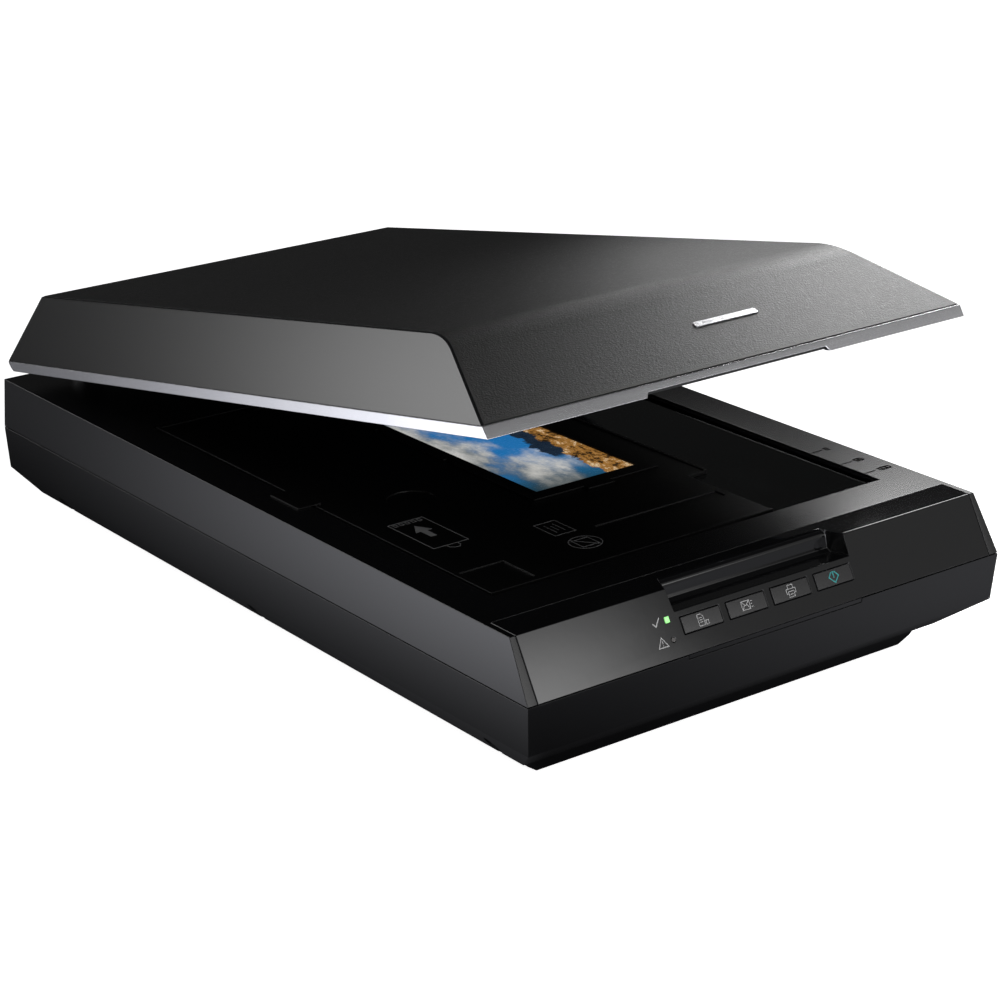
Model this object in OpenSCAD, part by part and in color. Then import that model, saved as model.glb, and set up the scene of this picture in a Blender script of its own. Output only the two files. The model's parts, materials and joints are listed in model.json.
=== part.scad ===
// Flatbed photo scanner with a raised transparency lid and a film holder on the glass.
// Frame: +Z up, X = 0 on the centre plane, Y = 0 half way along the case, Z = 0 on the desk.
// The control panel faces -Y and the lid hinges at +Y. All lengths are in millimetres.

/* [Case] */
// Width of the case at the seam between its two halves
case_w = 280; // [278:0.5:284]
// Depth of the case at the seam
case_d = 500; // [498:0.5:504]
// Height of the seam above the desk
seam_z = 52.7; // [51:0.1:54]
// Height of the flat deck above the desk
deck_z = 80.2; // [79.5:0.1:81]
// Wall thickness of the moulded shells
wall = 2.5; // [2:0.1:2.8]
// Height of the case's underside above the desk
belly_z = 11.4; // [10.5:0.1:12]

/* [Platen] */
// Width of the opening over the glass
platen_w = 230.6; // [226:0.2:231]
// Thickness of the glass
glass_t = 3; // [2.5:0.1:3]

/* [Control panel] */
// Width of one key
key_w = 22; // [18:0.5:22.5]
// Height of one key along the slope
key_h = 7.7; // [6:0.1:7.8]
// Distance from one key to the next
key_pitch = 26.2; // [25.5:0.1:26.5]

/* [Lid] */
// Height of the lid's top above the deck when it is shut
lid_h = 38.5; // [37:0.5:40]
// Height of the metallic band around the lid
band_h = 5.5; // [5:0.1:5.5]
// Angle that the lid stands open
lid_open = 9.7; // [0:0.1:60]
// Distance that the hinge posts are drawn up
lid_raise = 7.2; // [0:0.1:20]

/* [Drive] */
// Module of the reduction gears
gear_module = 0.6; // [0.5:0.05:0.6]
// Teeth on the motor pinion
pinion_teeth = 12; // [12:1:14]
// Teeth on the reduction gear
gear_teeth = 54; // [48:1:54]
// Radius of the carriage guide rod
rod_r = 4; // [3:0.1:4.2]

/* [Hidden] */
$fn = 48;
half_w = case_w / 2;
half_d = case_d / 2;
eps = 0.01;
seam_gap = 0.2;             // half the line between the two shells
floor_z = belly_z + wall;   // inside floor of the lower case
side_lean = 2.3;            // how far the sides lean in between seam and deck
ridge_y = -half_d + 15.1;   // where the sloped panel meets the deck
panel_back_y = -half_d + 33.9;
slope_deg = atan2(deck_z - seam_z, ridge_y + half_d);
waist_z = 28.4;             // height at which the lower case turns under
panel_half = half_w - 5.6;  // half width of the glossy panel
long = 2 * case_d;          // longer than anything that is cut

// Platen
platen_y0 = -190.6;
platen_y1 = 117.5;
glass_top = deck_z - wall;
glass_y1 = 134;

// Finger recess in the front edge
scoop_half = 53;
scoop_s = 20.5;             // distance up the slope at which the recess starts

// Keys and lights, placed up the slope from the seam
key_s = 13.4;
light_x = -57.2;
ready_s = 18;
error_s = 8.7;
key_float = 3.6;            // depth of a key's flange behind the panel's face
board_depth = 10.6;         // depth of the panel board behind the panel's face

// Lid, in the shut position
hinge_y = half_d - 18;
hinge_z = deck_z + 8;
hinge_x = 95;
pin_r = 2.5;
pin_fit = 0.05;             // radial clearance of a pin in a moving part
post_half = [6, 6.5];       // half width and half depth of a hinge post
lid_gap = 1.1;
band_z0 = deck_z + lid_gap;
band_z1 = band_z0 + band_h;
lid_top = deck_z + lid_h;
band_half0 = half_w - 1.7;
band_half1 = half_w - 1.4;
lid_half_top = half_w - 25.6;
lid_y0 = -half_d + 19.3;    // front of the band, lower edge
lid_y1 = -half_d + 21.8;    // front of the band, upper edge
lid_ridge_y = -half_d + 78.7;
lid_back_r = 7.6;           // radius of the lid's rear lower edge about the hinge
lid_back_y = hinge_y + lid_back_r;
lid_back_top = lid_back_y - 3.9;
ridge_r = 45;
plate_z0 = deck_z + 4.6;    // inner panel's plate
plate_z1 = deck_z + 6.6;
rim_z0 = deck_z + 1.6;
band_in_x = band_half0 - 2.4;
band_in_y0 = lid_y1 + 1.7;
band_in_y1 = lid_back_y - 2.6;
mat_z0 = deck_z + 0.9;
backlight_x = 8;            // middle of the film window
cable_x = 60;

// Drive train
gear_x = -12;
gear_y = -212;
idler_y = 197;
gear_add = 0.85;            // addendum as a share of the module
gear_ded = 1.15;            // dedendum as a share of the module
pressure_deg = 25;
backlash = 0.12;
centre_gap = 0.1;
gear_centre = gear_module * (pinion_teeth + gear_teeth) / 2 + centre_gap;
motor_x = gear_x + gear_centre;
axle_r = 2;
pulley_r = 5.75;
belt_in_r = 5.95;
belt_t = 1.4;
belt_z0 = 22.7;
belt_z1 = 28.7;

// Carriage at its parked place
rod_x = -40;
rod_z = 27;
car_half = 116;
car_y0 = 118;
car_y1 = 180;
car_z0 = 34;
car_z1 = 70;
car_wall = 2;
slit_y = car_y0 + 10;
rail_x = 103;

// Transport lock, left end of its knob when it is open
lock_x0 = -70;

// Main board
board_x0 = 14;
board_x1 = 84;
board_z0 = 28;
board_z1 = 29.6;
usb_x = 30;
jack_x = 50;
jack_z = 35.4;

// Film holder
holder_x0 = -114.5;
holder_x1 = 50;
holder_x2 = 62;
holder_y0 = -188.6;
holder_y1 = 117;
holder_step_y = -124;
holder_t = 1.9;
film_t = 0.2;
film_x = backlight_x;
film_half = 31.2;
film_y0 = -97;
film_y1 = 90;
holder_z1 = glass_top + holder_t;
cover_z0 = holder_z1 + film_t;
cover_z1 = cover_z0 + 1;

// ---------------------------------------------------------------- helpers

// Prism of a side outline given as [Y, Z], run along X and centred on X = 0
module along_x(outline, length) {
    rotate([90, 0, 90]) linear_extrude(length, center = true) polygon(outline);
}

// Prism of a front outline given as [X, Z], run along Y and centred on Y = 0
module along_y(outline, length) {
    rotate([90, 0, 0]) linear_extrude(length, center = true) polygon(outline);
}

// Box between two opposite corners
module span(low, high) {
    translate(low) cube(high - low);
}

// Upright cylinder between two heights
module post(x, y, z0, z1, r) {
    translate([x, y, z0]) cylinder(h = z1 - z0, r = r);
}

// Cylinder along X between two planes
module rod_x_dir(x0, x1, y, z, r) {
    translate([x0, y, z]) rotate([0, 90, 0]) cylinder(h = x1 - x0, r = r);
}

// Cylinder along Y between two planes
module rod_y_dir(x, y0, y1, z, r) {
    translate([x, y1, z]) rotate([90, 0, 0]) cylinder(h = y1 - y0, r = r);
}

// Closed outline from its right half, given bottom to top or front to back
function mirrored(half) = concat(half, [
    for (i = [len(half) - 1 : -1 : 0]) [-half[i][0], half[i][1]]
]);

// Points on an arc about a centre
function arc(centre, r, a0, a1, steps) = [
    for (i = [0 : steps]) let (a = a0 + (a1 - a0) * i / steps)
        [centre[0] + r * cos(a), centre[1] + r * sin(a)]
];

// Local frame on the sloped panel: X across, Y up the slope, Z straight out of its face
module on_slope() {
    translate([0, -half_d, seam_z]) rotate([slope_deg, 0, 0]) children();
}

// Y of the panel's face, or of a surface t behind it, at height z
function slope_y(z, t = 0) = -half_d + t / sin(slope_deg) + (z - seam_z) / tan(slope_deg);

// Moves a part of the shut lid to where the open lid holds it
module lid_pose() {
    translate([0, hinge_y, hinge_z + lid_raise]) rotate([-lid_open, 0, 0])
        translate([0, -hinge_y, -hinge_z]) children();
}

// Round tube along a path of points, with flat ends
module tube(path, r, sides) {
    last = len(path) - 1;
    function ahead(i) = path[min(i + 1, last)] - path[max(i - 1, 0)];
    function side(i) = let (c = cross(ahead(i), [0, 0.37, 0.11])) c / norm(c);
    function up(i) = let (c = cross(side(i), ahead(i))) c / norm(c);
    ring_points = [
        for (i = [0 : last]) for (k = [0 : sides - 1]) let (a = 360 * k / sides)
            path[i] + r * (cos(a) * side(i) + sin(a) * up(i))
    ];
    walls = [
        for (i = [0 : last - 1]) for (k = [0 : sides - 1])
            let (a = i * sides + k)
            let (b = i * sides + (k + 1) % sides)
            each [[a, b, b + sides], [a, b + sides, a + sides]]
    ];
    start_cap = [[for (k = [sides - 1 : -1 : 0]) k]];
    end_cap = [[for (k = [0 : sides - 1]) last * sides + k]];
    polyhedron(points = ring_points, faces = concat(walls, start_cap, end_cap));
}

// ---------------------------------------------------------------- case shells

// Outer [Y, Z] outline of the lower case, inset by t
function lower_side(t, top) = [
    [-half_d + 27.3 + t, belly_z + t], [-half_d + 3 + t, waist_z],
    [-half_d + t, top], [half_d - 0.4 - t, top],
    [half_d - t, waist_z], [half_d - 7.7 - t, belly_z + t]
];

// Outer [X, Z] outline of the lower case, inset by t
function lower_front(t, top) = mirrored([
    [half_w - 15.7 - t, belly_z + t], [half_w - 1.4 - t, waist_z], [half_w - t, top]
]);

module lower_solid(t, top) {
    intersection() {
        along_x(lower_side(t, top), long);
        along_y(lower_front(t, top), long);
    }
}

function upper_side(t, z0) = [
    [slope_y(z0, t), z0], [slope_y(deck_z - t, t), deck_z - t],
    [half_d - 1.2 - t, deck_z - t], [half_d - 0.4 - t, z0]
];

function upper_front(t, z0) = mirrored([
    [half_w - t, z0], [half_w - side_lean - t, deck_z - t]
]);

module upper_solid(t, z0) {
    intersection() {
        along_x(upper_side(t, z0), long);
        along_y(upper_front(t, z0), long);
    }
}

// Places of the screws that hold the two shells together
screw_spots = [for (x = [-128, 128], y = [-205, 0, 205]) [x, y]];
screw_head_z = 24;

// Foot bars under the front and the rear of the case
module foot_bar() {
    intersection() {
        along_y(mirrored([[110.2, 0.8], [116, 5], [119, belly_z + 1]]), long);
        along_x([
            [-212.7, 0.8], [-214.5, 5], [-218, belly_z + 1], [-197, belly_z + 1], [-198.6, 0.8]
        ], long);
    }
}

foot_r = 6;
foot_spots = [for (x = [-95, 95], y = [-205.6, 205.6]) [x, y]];

module lower_case() {
    color("#141416") difference() {
        union() {
            difference() {
                lower_solid(0, seam_z - seam_gap);
                lower_solid(wall, seam_z + 1);
            }
            // Tongue that locates the upper case
            difference() {
                intersection() {
                    lower_solid(1.45, seam_z + 2);
                    span([-long, -214, seam_z - 4], [long, long, seam_z + 2]);
                }
                lower_solid(wall, seam_z + 3);
            }
            foot_bar();
            mirror([0, 1, 0]) foot_bar();
            intersection() {
                lower_solid(1, seam_z - seam_gap);
                union() {
                    for (p = screw_spots) post(p[0], p[1], belly_z + 1, seam_z - seam_gap, 4.6);
                    for (p = [[30, -226], [30, -198]]) post(p[0], p[1], belly_z + 1, 36.8, 4.5);
                    post(gear_x, gear_y, belly_z + 1, 20.9, 5);
                    for (p = standoffs) post(p[0], p[1], belly_z + 1, board_z0, 3);
                    // Rail under the free side of the carriage
                    span([rail_x - 3, -205, belly_z + 1], [rail_x + 3, 184, 31.5]);
                    // Post for the power switch
                    span([118.5, -190, belly_z + 1], [121, -180, 44]);
                    // Anchor of the tension spring
                    span([gear_x - 4, 232, belly_z + 1], [gear_x + 4, 235, 24]);
                }
            }
        }
        for (p = screw_spots) {
            post(p[0], p[1], -1, screw_head_z, 4);
            post(p[0], p[1], -1, seam_z + 1, 1.7);
        }
        for (p = foot_spots) post(p[0], p[1], -1, 2.3, foot_r);
        post(gear_x, gear_y, floor_z, 30, axle_r);
        // Notch for the tab of the front panel
        span([-51.8, -half_d - 1, seam_z - 2.3], [51.8, -half_d + 2.8, seam_z + 1]);
        // Power button, ports and transport lock
        rod_x_dir(130, long, -185, 40, 5.2);
        span([usb_x - 6.2, half_d - 10, board_z1 - 0.2], [usb_x + 6.2, long, board_z1 + 11.2]);
        rod_y_dir(jack_x, half_d - 10, long, jack_z, 4.6);
        span([lock_x0 - 0.4, half_d - 10, 30], [lock_x0 + 20.4, long, 36]);
        // Ventilation slots in the rear wall
        for (i = [0 : 7]) span([66 + 5 * i, half_d - 10, 33], [68.4 + 5 * i, long, 45]);
    }
}

module upper_case() {
    color("#1a1a1d") difference() {
        union() {
            difference() {
                upper_solid(0, seam_z + seam_gap);
                upper_solid(wall, seam_z - 1);
                // Room for the tongue of the lower case
                intersection() {
                    upper_solid(1.1, seam_z - 1);
                    span([-long, -long, 0], [long, long, seam_z + 2.3]);
                }
                // The glossy panel fills the whole front edge
                span([-panel_half - 0.15, -long, 0], [panel_half + 0.15, panel_back_y, long]);
            }
            // Ledge that carries the rear edge of the panel
            span([-panel_half, panel_back_y - 3.4, glass_top - 2],
                 [panel_half, panel_back_y + 4, glass_top]);
            span([-panel_half, panel_back_y, glass_top - 2],
                 [panel_half, panel_back_y + 4, glass_top + eps]);
            for (p = screw_spots) post(p[0], p[1], seam_z + seam_gap, glass_top + eps, 4.6);
            // Sockets that guide the hinge posts
            for (x = [-hinge_x, hinge_x])
                span([x - 8.6, hinge_y - 9, 42], [x + 8.6, hinge_y + 9, glass_top + eps]);
            // Ribs under the rear deck
            for (y = [150, 190]) span([-120, y, glass_top - 2], [120, y + 2, glass_top + eps]);
        }
        for (p = screw_spots) post(p[0], p[1], seam_z - 1, 66, 1.5);
        for (x = [-hinge_x, hinge_x])
            span([x - post_half[0] - 0.3, hinge_y - post_half[1] - 0.3, 20],
                 [x + post_half[0] + 0.3, hinge_y + post_half[1] + 0.3, long]);
        // Platen opening with a chamfered rim
        intersection() {
            along_y(mirrored([
                [platen_w / 2, glass_top - 1], [platen_w / 2, deck_z - 1],
                [platen_w / 2 + 1.2, deck_z + 0.2]
            ]), long);
            along_x([
                [platen_y0, glass_top - 1], [platen_y0, deck_z - 1], [platen_y0 - 1.2, deck_z + 0.2],
                [platen_y1 + 1.2, deck_z + 0.2], [platen_y1, deck_z - 1], [platen_y1, glass_top - 1]
            ], long);
        }
        // Pocket for the calibration strip
        span([-114, platen_y1 + 4, glass_top - 1], [114, platen_y1 + 14, glass_top + 0.3]);
        post(cable_x, hinge_y, 60, long, 3.2);
    }
}

// Finger recess: an undercut slot with a rounded rear lip
module scoop_cut() {
    y1 = slope_y(seam_z + scoop_s * sin(slope_deg));
    z1 = seam_z + scoop_s * sin(slope_deg);
    intersection() {
        along_x(concat(
            [[y1, z1], [-229, z1 - 1], [-227.2, z1 + 0.8], [-226.5, deck_z - 4]],
            arc([-222.5, deck_z - 4], 4, 180, 90, 8),
            [[-222.5, deck_z + 9], [-half_d - 9, deck_z + 9], [-half_d - 9, z1]]
        ), long);
        linear_extrude(long) polygon(mirrored([
            [scoop_half - 1, -half_d - 9], [scoop_half - 1, -half_d + 9], [scoop_half, ridge_y],
            [scoop_half - 5, -222.5], [scoop_half - 5.6, -221]
        ]));
    }
}

module front_panel() {
    z0 = seam_z + seam_gap;
    color("#0c0c0e") difference() {
        union() {
            along_x([
                [slope_y(z0), z0], [ridge_y, deck_z], [panel_back_y - 0.15, deck_z],
                [panel_back_y - 0.15, glass_top], [slope_y(glass_top, wall), glass_top],
                [slope_y(z0, wall), z0]
            ], 2 * panel_half);
            // Tab that dips over the lower case
            along_x([[-half_d + 0.15, z0 + eps], [-half_d + 0.3, seam_z - 2.1],
                     [-half_d + 2.7, seam_z - 2.1], [-half_d + 2.7, z0 + eps]], 103);
            // Tub of the finger recess
            along_x([
                [slope_y(68.6), 68.6], [-228.3, 67.4], [-225.2, 70.6], [-224.4, deck_z - 4.4],
                [-220.2, glass_top], [-220.2, deck_z], [ridge_y, deck_z]
            ], 2 * scoop_half + 6);
            // Bosses for the panel board
            on_slope() for (x = [-61.6, 57.4]) translate([x, 13, -board_depth])
                cylinder(h = board_depth - wall + 0.1, r = 1.8);
        }
        scoop_cut();
        on_slope() {
            for (i = [0 : 3]) translate([key_x(i), key_s, 0])
                cube([key_w + 0.6, key_h + 0.6, 12], center = true);
            translate([light_x, ready_s, 0]) cube([2.5, 3, 12], center = true);
            translate([light_x, error_s, -6]) cylinder(h = 12, r = 1.15);
        }
    }
}

function key_x(i) = (i - 1.5) * key_pitch;

module key_cap(i) {
    on_slope() translate([key_x(i), key_s, 0]) {
        translate([0, 0, -1.6]) cube([key_w, key_h, 3.9], center = true);
        translate([0, 0, -key_float + 0.4]) cube([key_w + 2.2, key_h + 1.8, 0.8], center = true);
        translate([0, 0, -6.2]) cylinder(h = 3, r = 1.8);
    }
}

module document_key() { color("#4a494d") key_cap(0); }
module mail_key() { color("#4a494d") key_cap(1); }
module copy_key() { color("#4a494d") key_cap(2); }
module start_key() { color("#4a494d") key_cap(3); }

module ready_light() {
    color("#7dff6a") on_slope() translate([light_x, ready_s, -4.45]) cube([2.3, 2.8, 9.1], center = true);
}

module error_light() {
    color("#3a3a38") on_slope() translate([light_x, error_s, -9]) cylinder(h = 9.05, r = 1.05);
}

module panel_board() {
    color("#1d5c34") on_slope() difference() {
        union() {
            span([-64, 5, -board_depth - 1.6], [60, 21, -board_depth]);
            for (s = [ready_s, error_s])
                span([light_x - 1.2, s - 0.8, -board_depth], [light_x + 1.2, s + 0.8, -9.4]);
        }
        for (x = [-61.6, 57.4]) translate([x, 13, -board_depth - 3]) cylinder(h = 6, r = 0.8);
    }
}

module tact_switches() {
    color("#2a2a2c") {
        on_slope() for (i = [0 : 3]) translate([key_x(i), key_s, -board_depth]) {
            translate([-3, -3, 0]) cube([6, 6, 3]);
            cylinder(h = 3.3, r = 1.6);
        }
        span([121, -188, 37], [124.6, -182, 43]);
        rod_x_dir(124.5, 125, -185, 40, 1.6);
    }
}

module power_button() {
    color("#232326") {
        rod_x_dir(134.4, 139.2, -185, 40, 5);
        rod_x_dir(134.4, 136.2, -185, 40, 6.5);
        rod_x_dir(126.4, 135, -185, 40, 2);
    }
}

module platen_glass() {
    color("#0a0d10", 0.5)
        span([-120, platen_y0 - 5, glass_top - glass_t], [120, glass_y1, glass_top]);
}

module calibration_strip() {
    color("#f4f4f0")
        span([-113.8, platen_y1 + 4.2, glass_top], [113.8, platen_y1 + 13.8, glass_top + 0.25]);
}

module transport_lock() {
    color("#b9b9bd") {
        span([lock_x0, half_d - 3, 30.4], [lock_x0 + 11, half_d - 0.3, 35.6]);
        span([lock_x0 - 12, half_d - 4.8, 28.6], [lock_x0 + 24, half_d - 2.8, 38]);
        span([lock_x0 + 4, car_y1 + 2, 31], [lock_x0 + 8, half_d - 4.7, 35]);
    }
}

// ---------------------------------------------------------------- electronics

standoffs = [for (x = [board_x0 + 4, board_x1 - 4], y = [194, 236]) [x, y]];

module main_board() {
    color("#1d5c34") difference() {
        span([board_x0, 189, board_z0], [board_x1, 241, board_z1]);
        for (p = standoffs) post(p[0], p[1], board_z0 - 1, board_z1 + 1, 1.4);
    }
}

// Processor, memory, motor driver, capacitors and plug headers
module board_components() {
    color("#303034") {
        span([59, 199, board_z1], [76, 216, board_z1 + 1.6]);
        span([43, 204, board_z1], [53, 214, board_z1 + 1.2]);
        span([28, 208, board_z1], [38, 218, board_z1 + 1.4]);
        for (i = [0 : 3]) post(19, 201 + 5 * i, board_z1, board_z1 + 8, 2);
        span([28, 191, board_z1], [52, 195, board_z1 + 4]);
        span([cable_x - 8, 221, board_z1], [cable_x + 8, 228, board_z1 + 7]);
    }
}

module usb_port() {
    color("#c4c6c8") difference() {
        span([usb_x - 6, half_d - 17, board_z1], [usb_x + 6, half_d - 0.6, board_z1 + 11]);
        difference() {
            span([usb_x - 5, half_d - 12, board_z1 + 1], [usb_x + 5, half_d, board_z1 + 10]);
            span([usb_x - 3, half_d - 13, board_z1 + 4], [usb_x + 3, half_d - 3, board_z1 + 7]);
        }
    }
}

module power_jack() {
    color("#222224") difference() {
        union() {
            span([jack_x - 4.5, half_d - 15, board_z1], [jack_x + 4.5, half_d - 3.2, board_z1 + 11]);
            rod_y_dir(jack_x, half_d - 4, half_d - 0.6, jack_z, 4.4);
        }
        difference() {
            rod_y_dir(jack_x, half_d - 12, half_d, jack_z, 2.8);
            rod_y_dir(jack_x, half_d - 13, half_d - 3, jack_z, 0.9);
        }
    }
}

module home_sensor() {
    color("#242426") difference() {
        span([64, 145, floor_z], [76, 155, 29]);
        span([67.8, 144, 19], [72.2, 156, 30]);
    }
}

// Ribbon that lies on the floor, turns over and runs back to the carriage
module flat_cable() {
    ribbon = 0.3;
    turn_r = 8;
    x0 = 30;
    x1 = 50;
    z0 = floor_z + 0.1;
    z1 = z0 + 2 * turn_r;
    color("#d9d6cc") {
        span([x0, 0, z0], [x1, 186, z0 + ribbon]);
        span([x0, 186 - ribbon, z0], [x1, 186, board_z1]);
        difference() {
            rod_x_dir(x0, x1, 0, z0 + turn_r, turn_r);
            rod_x_dir(x0 - 1, x1 + 1, 0, z0 + turn_r, turn_r - ribbon);
            span([x0 - 1, 0, z0 - 1], [x1 + 1, 20, z1 + 1]);
        }
        span([x0, 0, z1 - ribbon], [x1, 150, z1]);
        span([x0, 150 - ribbon, z1 - ribbon], [x1, 150, car_z0 - 0.2]);
    }
}

// ---------------------------------------------------------------- drive

// Angle between an involute and its radius, in degrees
function involute(a) = tan(a) * 180 / PI - a;

// Half the angle that a tooth fills at radius r, for base radius rb and pitch radius rp
function tooth_half(r, rb, rp, teeth) =
    90 / teeth - backlash / 4 / rp * 180 / PI
    + involute(pressure_deg) - involute(acos(min(1, rb / r)));

// One tooth's outline, up one flank and down the other
function tooth_outline(teeth, at) =
    let (rp = gear_module * teeth / 2)
    let (rb = rp * cos(pressure_deg))
    let (tip = rp + gear_add * gear_module)
    let (root = rp - gear_ded * gear_module)
    let (start = max(root, rb))
    let (radii = [root, for (i = [0 : 2]) start + (tip - start) * i / 2])
    let (half = [for (r = radii) tooth_half(max(r, rb), rb, rp, teeth)])
    concat(
        [for (i = [0 : len(radii) - 1]) [radii[i], at - half[i]]],
        [for (i = [len(radii) - 1 : -1 : 0]) [radii[i], at + half[i]]]
    );

module spur_gear(teeth, phase) {
    polygon([
        for (k = [0 : teeth - 1]) for (p = tooth_outline(teeth, 360 * k / teeth + phase))
            [p[0] * cos(p[1]), p[0] * sin(p[1])]
    ]);
}

module motor_pinion() {
    color("#c9b26a") difference() {
        translate([motor_x, gear_y, 31.2]) linear_extrude(5)
            spur_gear(pinion_teeth, 180 + 180 / pinion_teeth);
        post(motor_x, gear_y, 30, 36.3, 1.5);
    }
    color("#c8cacc") post(motor_x, gear_y, 31, 44, 1.5);
}

module stepper_motor() {
    color("#9a9ca0") difference() {
        union() {
            post(motor_x, gear_y, 38, 54, 16);
            translate([motor_x, gear_y, 38]) linear_extrude(1) square([46, 10], center = true);
        }
        post(motor_x, gear_y, 37, 45, 1.6);
    }
}

module motor_bracket() {
    color("#b4b6b8") difference() {
        span([motor_x - 22, gear_y - 18, 36.8], [35, gear_y + 17.4, 38]);
        post(motor_x, gear_y, 36, 39, 4);
        for (y = [-226, -198]) post(30, y, 36, 39, 1.7);
    }
}

// Reduction gear and toothed belt pulley moulded as one piece
module drive_gear() {
    belt_teeth = 18;
    color("#e8e4d8") difference() {
        union() {
            post(gear_x, gear_y, 21.2, 22.2, 8.3);
            post(gear_x, gear_y, 29.2, 30.2, 8.3);
            post(gear_x, gear_y, 30, 32.2, 5);
            translate([gear_x, gear_y, 22]) linear_extrude(7.4) difference() {
                circle(pulley_r);
                for (k = [0 : belt_teeth - 1]) rotate(360 * k / belt_teeth)
                    translate([pulley_r, 0]) square([1.2, 0.9], center = true);
            }
            translate([gear_x, gear_y, 32]) linear_extrude(3) spur_gear(gear_teeth, 0);
        }
        post(gear_x, gear_y, 20, 36, axle_r + pin_fit);
    }
}

module idler_pulley() {
    color("#e8e4d8") difference() {
        union() {
            post(gear_x, idler_y, 21.2, 22.2, 8.3);
            post(gear_x, idler_y, 22, 29.4, pulley_r);
            post(gear_x, idler_y, 29.2, 30.2, 8.3);
        }
        post(gear_x, idler_y, 20, 31, axle_r + pin_fit);
    }
}

module pulley_axles() {
    color("#c8cacc") {
        post(gear_x, gear_y, floor_z, 36.4, axle_r);
        post(gear_x, idler_y, 17, 31.6, axle_r);
    }
}

module axle_clips() {
    color("#8d8f92") for (p = [[gear_y, 35.2], [idler_y, 30.4]]) difference() {
        post(gear_x, p[0], p[1], p[1] + 0.8, 3.6);
        post(gear_x, p[0], p[1] - 1, p[1] + 2, axle_r);
        span([gear_x - 1.2, p[0], p[1] - 1], [gear_x + 1.2, p[0] + 5, p[1] + 2]);
    }
}

module belt_tensioner() {
    color("#b4b6b8") difference() {
        union() {
            span([gear_x - 11, 184, floor_z], [gear_x + 11, 212, 17]);
            span([gear_x - 4, 210, 17 - eps], [gear_x + 4, 212, 24]);
            post(gear_x, idler_y, 17 - eps, 21, 3.6);
        }
        post(gear_x, idler_y, 17, 22, axle_r);
    }
}

module tension_spring() {
    turns = 6;
    steps = 12;
    color("#c8cacc") tube([
        for (i = [0 : turns * steps]) let (a = 360 * i / steps)
            [gear_x + 2.6 * cos(a), 212.5 + 19 * i / (turns * steps), 20.5 + 2.6 * sin(a)]
    ], 0.45, 6);
}

// Closed belt: an outer loop, less an inner loop, with teeth on the straight runs
module timing_belt() {
    module loop(r) {
        translate([gear_x, gear_y]) circle(r);
        translate([gear_x, idler_y]) circle(r);
        translate([gear_x - r, gear_y]) square([2 * r, idler_y - gear_y]);
    }
    pitch = 5;
    run = idler_y - gear_y - 24;
    color("#1b1b1d") translate([0, 0, belt_z0]) linear_extrude(belt_z1 - belt_z0) {
        difference() {
            loop(belt_in_r + belt_t);
            loop(belt_in_r);
        }
        for (i = [0 : floor(run / pitch)], s = [-1, 1])
            translate([gear_x + s * (belt_in_r - 0.2), gear_y + 12 + i * pitch])
                square([1, 2], center = true);
    }
}

module guide_rod() {
    color("#d4d6d8") rod_y_dir(rod_x, -216, 216, rod_z, rod_r);
}

module rod_clamps() {
    color("#2b2b2e") for (y = [-216, 206]) difference() {
        span([rod_x - 9, y, floor_z], [rod_x + 9, y + 10, 33]);
        rod_y_dir(rod_x, y - 1, y + 11, rod_z, rod_r);
    }
}

// ---------------------------------------------------------------- carriage

bush_spots = [car_y0 + 2, car_y1 - 14];

module carriage_housing() {
    color("#202023") difference() {
        union() {
            difference() {
                span([-car_half, car_y0, car_z0], [car_half, car_y1, car_z1]);
                span([-car_half + car_wall, car_y0 + car_wall, car_z0 + car_wall],
                     [car_half - car_wall, car_y1 - car_wall, car_z1 + 1]);
            }
            for (y = bush_spots) span([rod_x - 8, y, 19.5], [rod_x + 8, y + 12, car_z0 + eps]);
            // Flag that passes through the home sensor
            span([69.3, 146, 22], [70.7, 154, car_z0 + eps]);
            // Seat of the lens
            span([-10, 143, car_z0 + car_wall - eps], [10, 157, 50]);
        }
        for (y = bush_spots) rod_y_dir(rod_x, y - 1, y + 13, rod_z, rod_r + 2);
        rod_y_dir(0, 142, 158, 54, 7);
        // Openings where the ribbon and the sensor's plug pass
        span([30, 160, car_z0 - 1], [50, 164, car_z0 + 3]);
    }
}

module carriage_cover() {
    color("#18181a") difference() {
        span([-car_half, car_y0, car_z1], [car_half, car_y1, car_z1 + 1.5]);
        span([-110, slit_y - 2, car_z1 - 1], [110, slit_y + 2, car_z1 + 3]);
        span([-110, car_y0 + 2.6, car_z1 - 1], [110, car_y0 + 7.4, car_z1 + 3]);
    }
}

// Bronze bushes on the guide rod and the slider on the rail
module carriage_bearings() {
    color("#a8823c") for (y = bush_spots) difference() {
        rod_y_dir(rod_x, y, y + 12, rod_z, rod_r + 2);
        rod_y_dir(rod_x, y - 1, y + 13, rod_z, rod_r + 0.04);
    }
    color("#efeee8") span([rail_x - 4, 138, 31.6], [rail_x + 4, 162, car_z0]);
}

module belt_clamp() {
    run_x = gear_x + belt_in_r + belt_t / 2;
    color("#2b2b2e") difference() {
        span([run_x - 3.7, 141, 21.5], [run_x + 3.1, 157, car_z0]);
        span([run_x - 1.9, 140, 20], [run_x + 1.1, 158, 29.2]);
    }
}

module light_bar() {
    color("#e9f2f4") {
        rod_x_dir(-110, 110, car_y0 + 5, 66, 2.2);
        span([110, car_y0 + 2.4, 62], [car_half - car_wall, car_y0 + 7.6, 69.6]);
    }
}

module optical_mirrors() {
    color("#cfd6da") for (m = [[slit_y, 42.5, 45], [166, 42.5, -45], [136, 61, 40]])
        translate([0, m[0], m[1]]) rotate([m[2], 0, 0])
            cube([2 * (car_half - car_wall), 10, 2.4], center = true);
}

module lens_barrel() {
    color("#2c2c30") difference() {
        rod_y_dir(0, 144, 156, 54, 7);
        rod_y_dir(0, 143, 146, 54, 4.5);
        rod_y_dir(0, 154, 157, 54, 4.5);
    }
}

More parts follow.
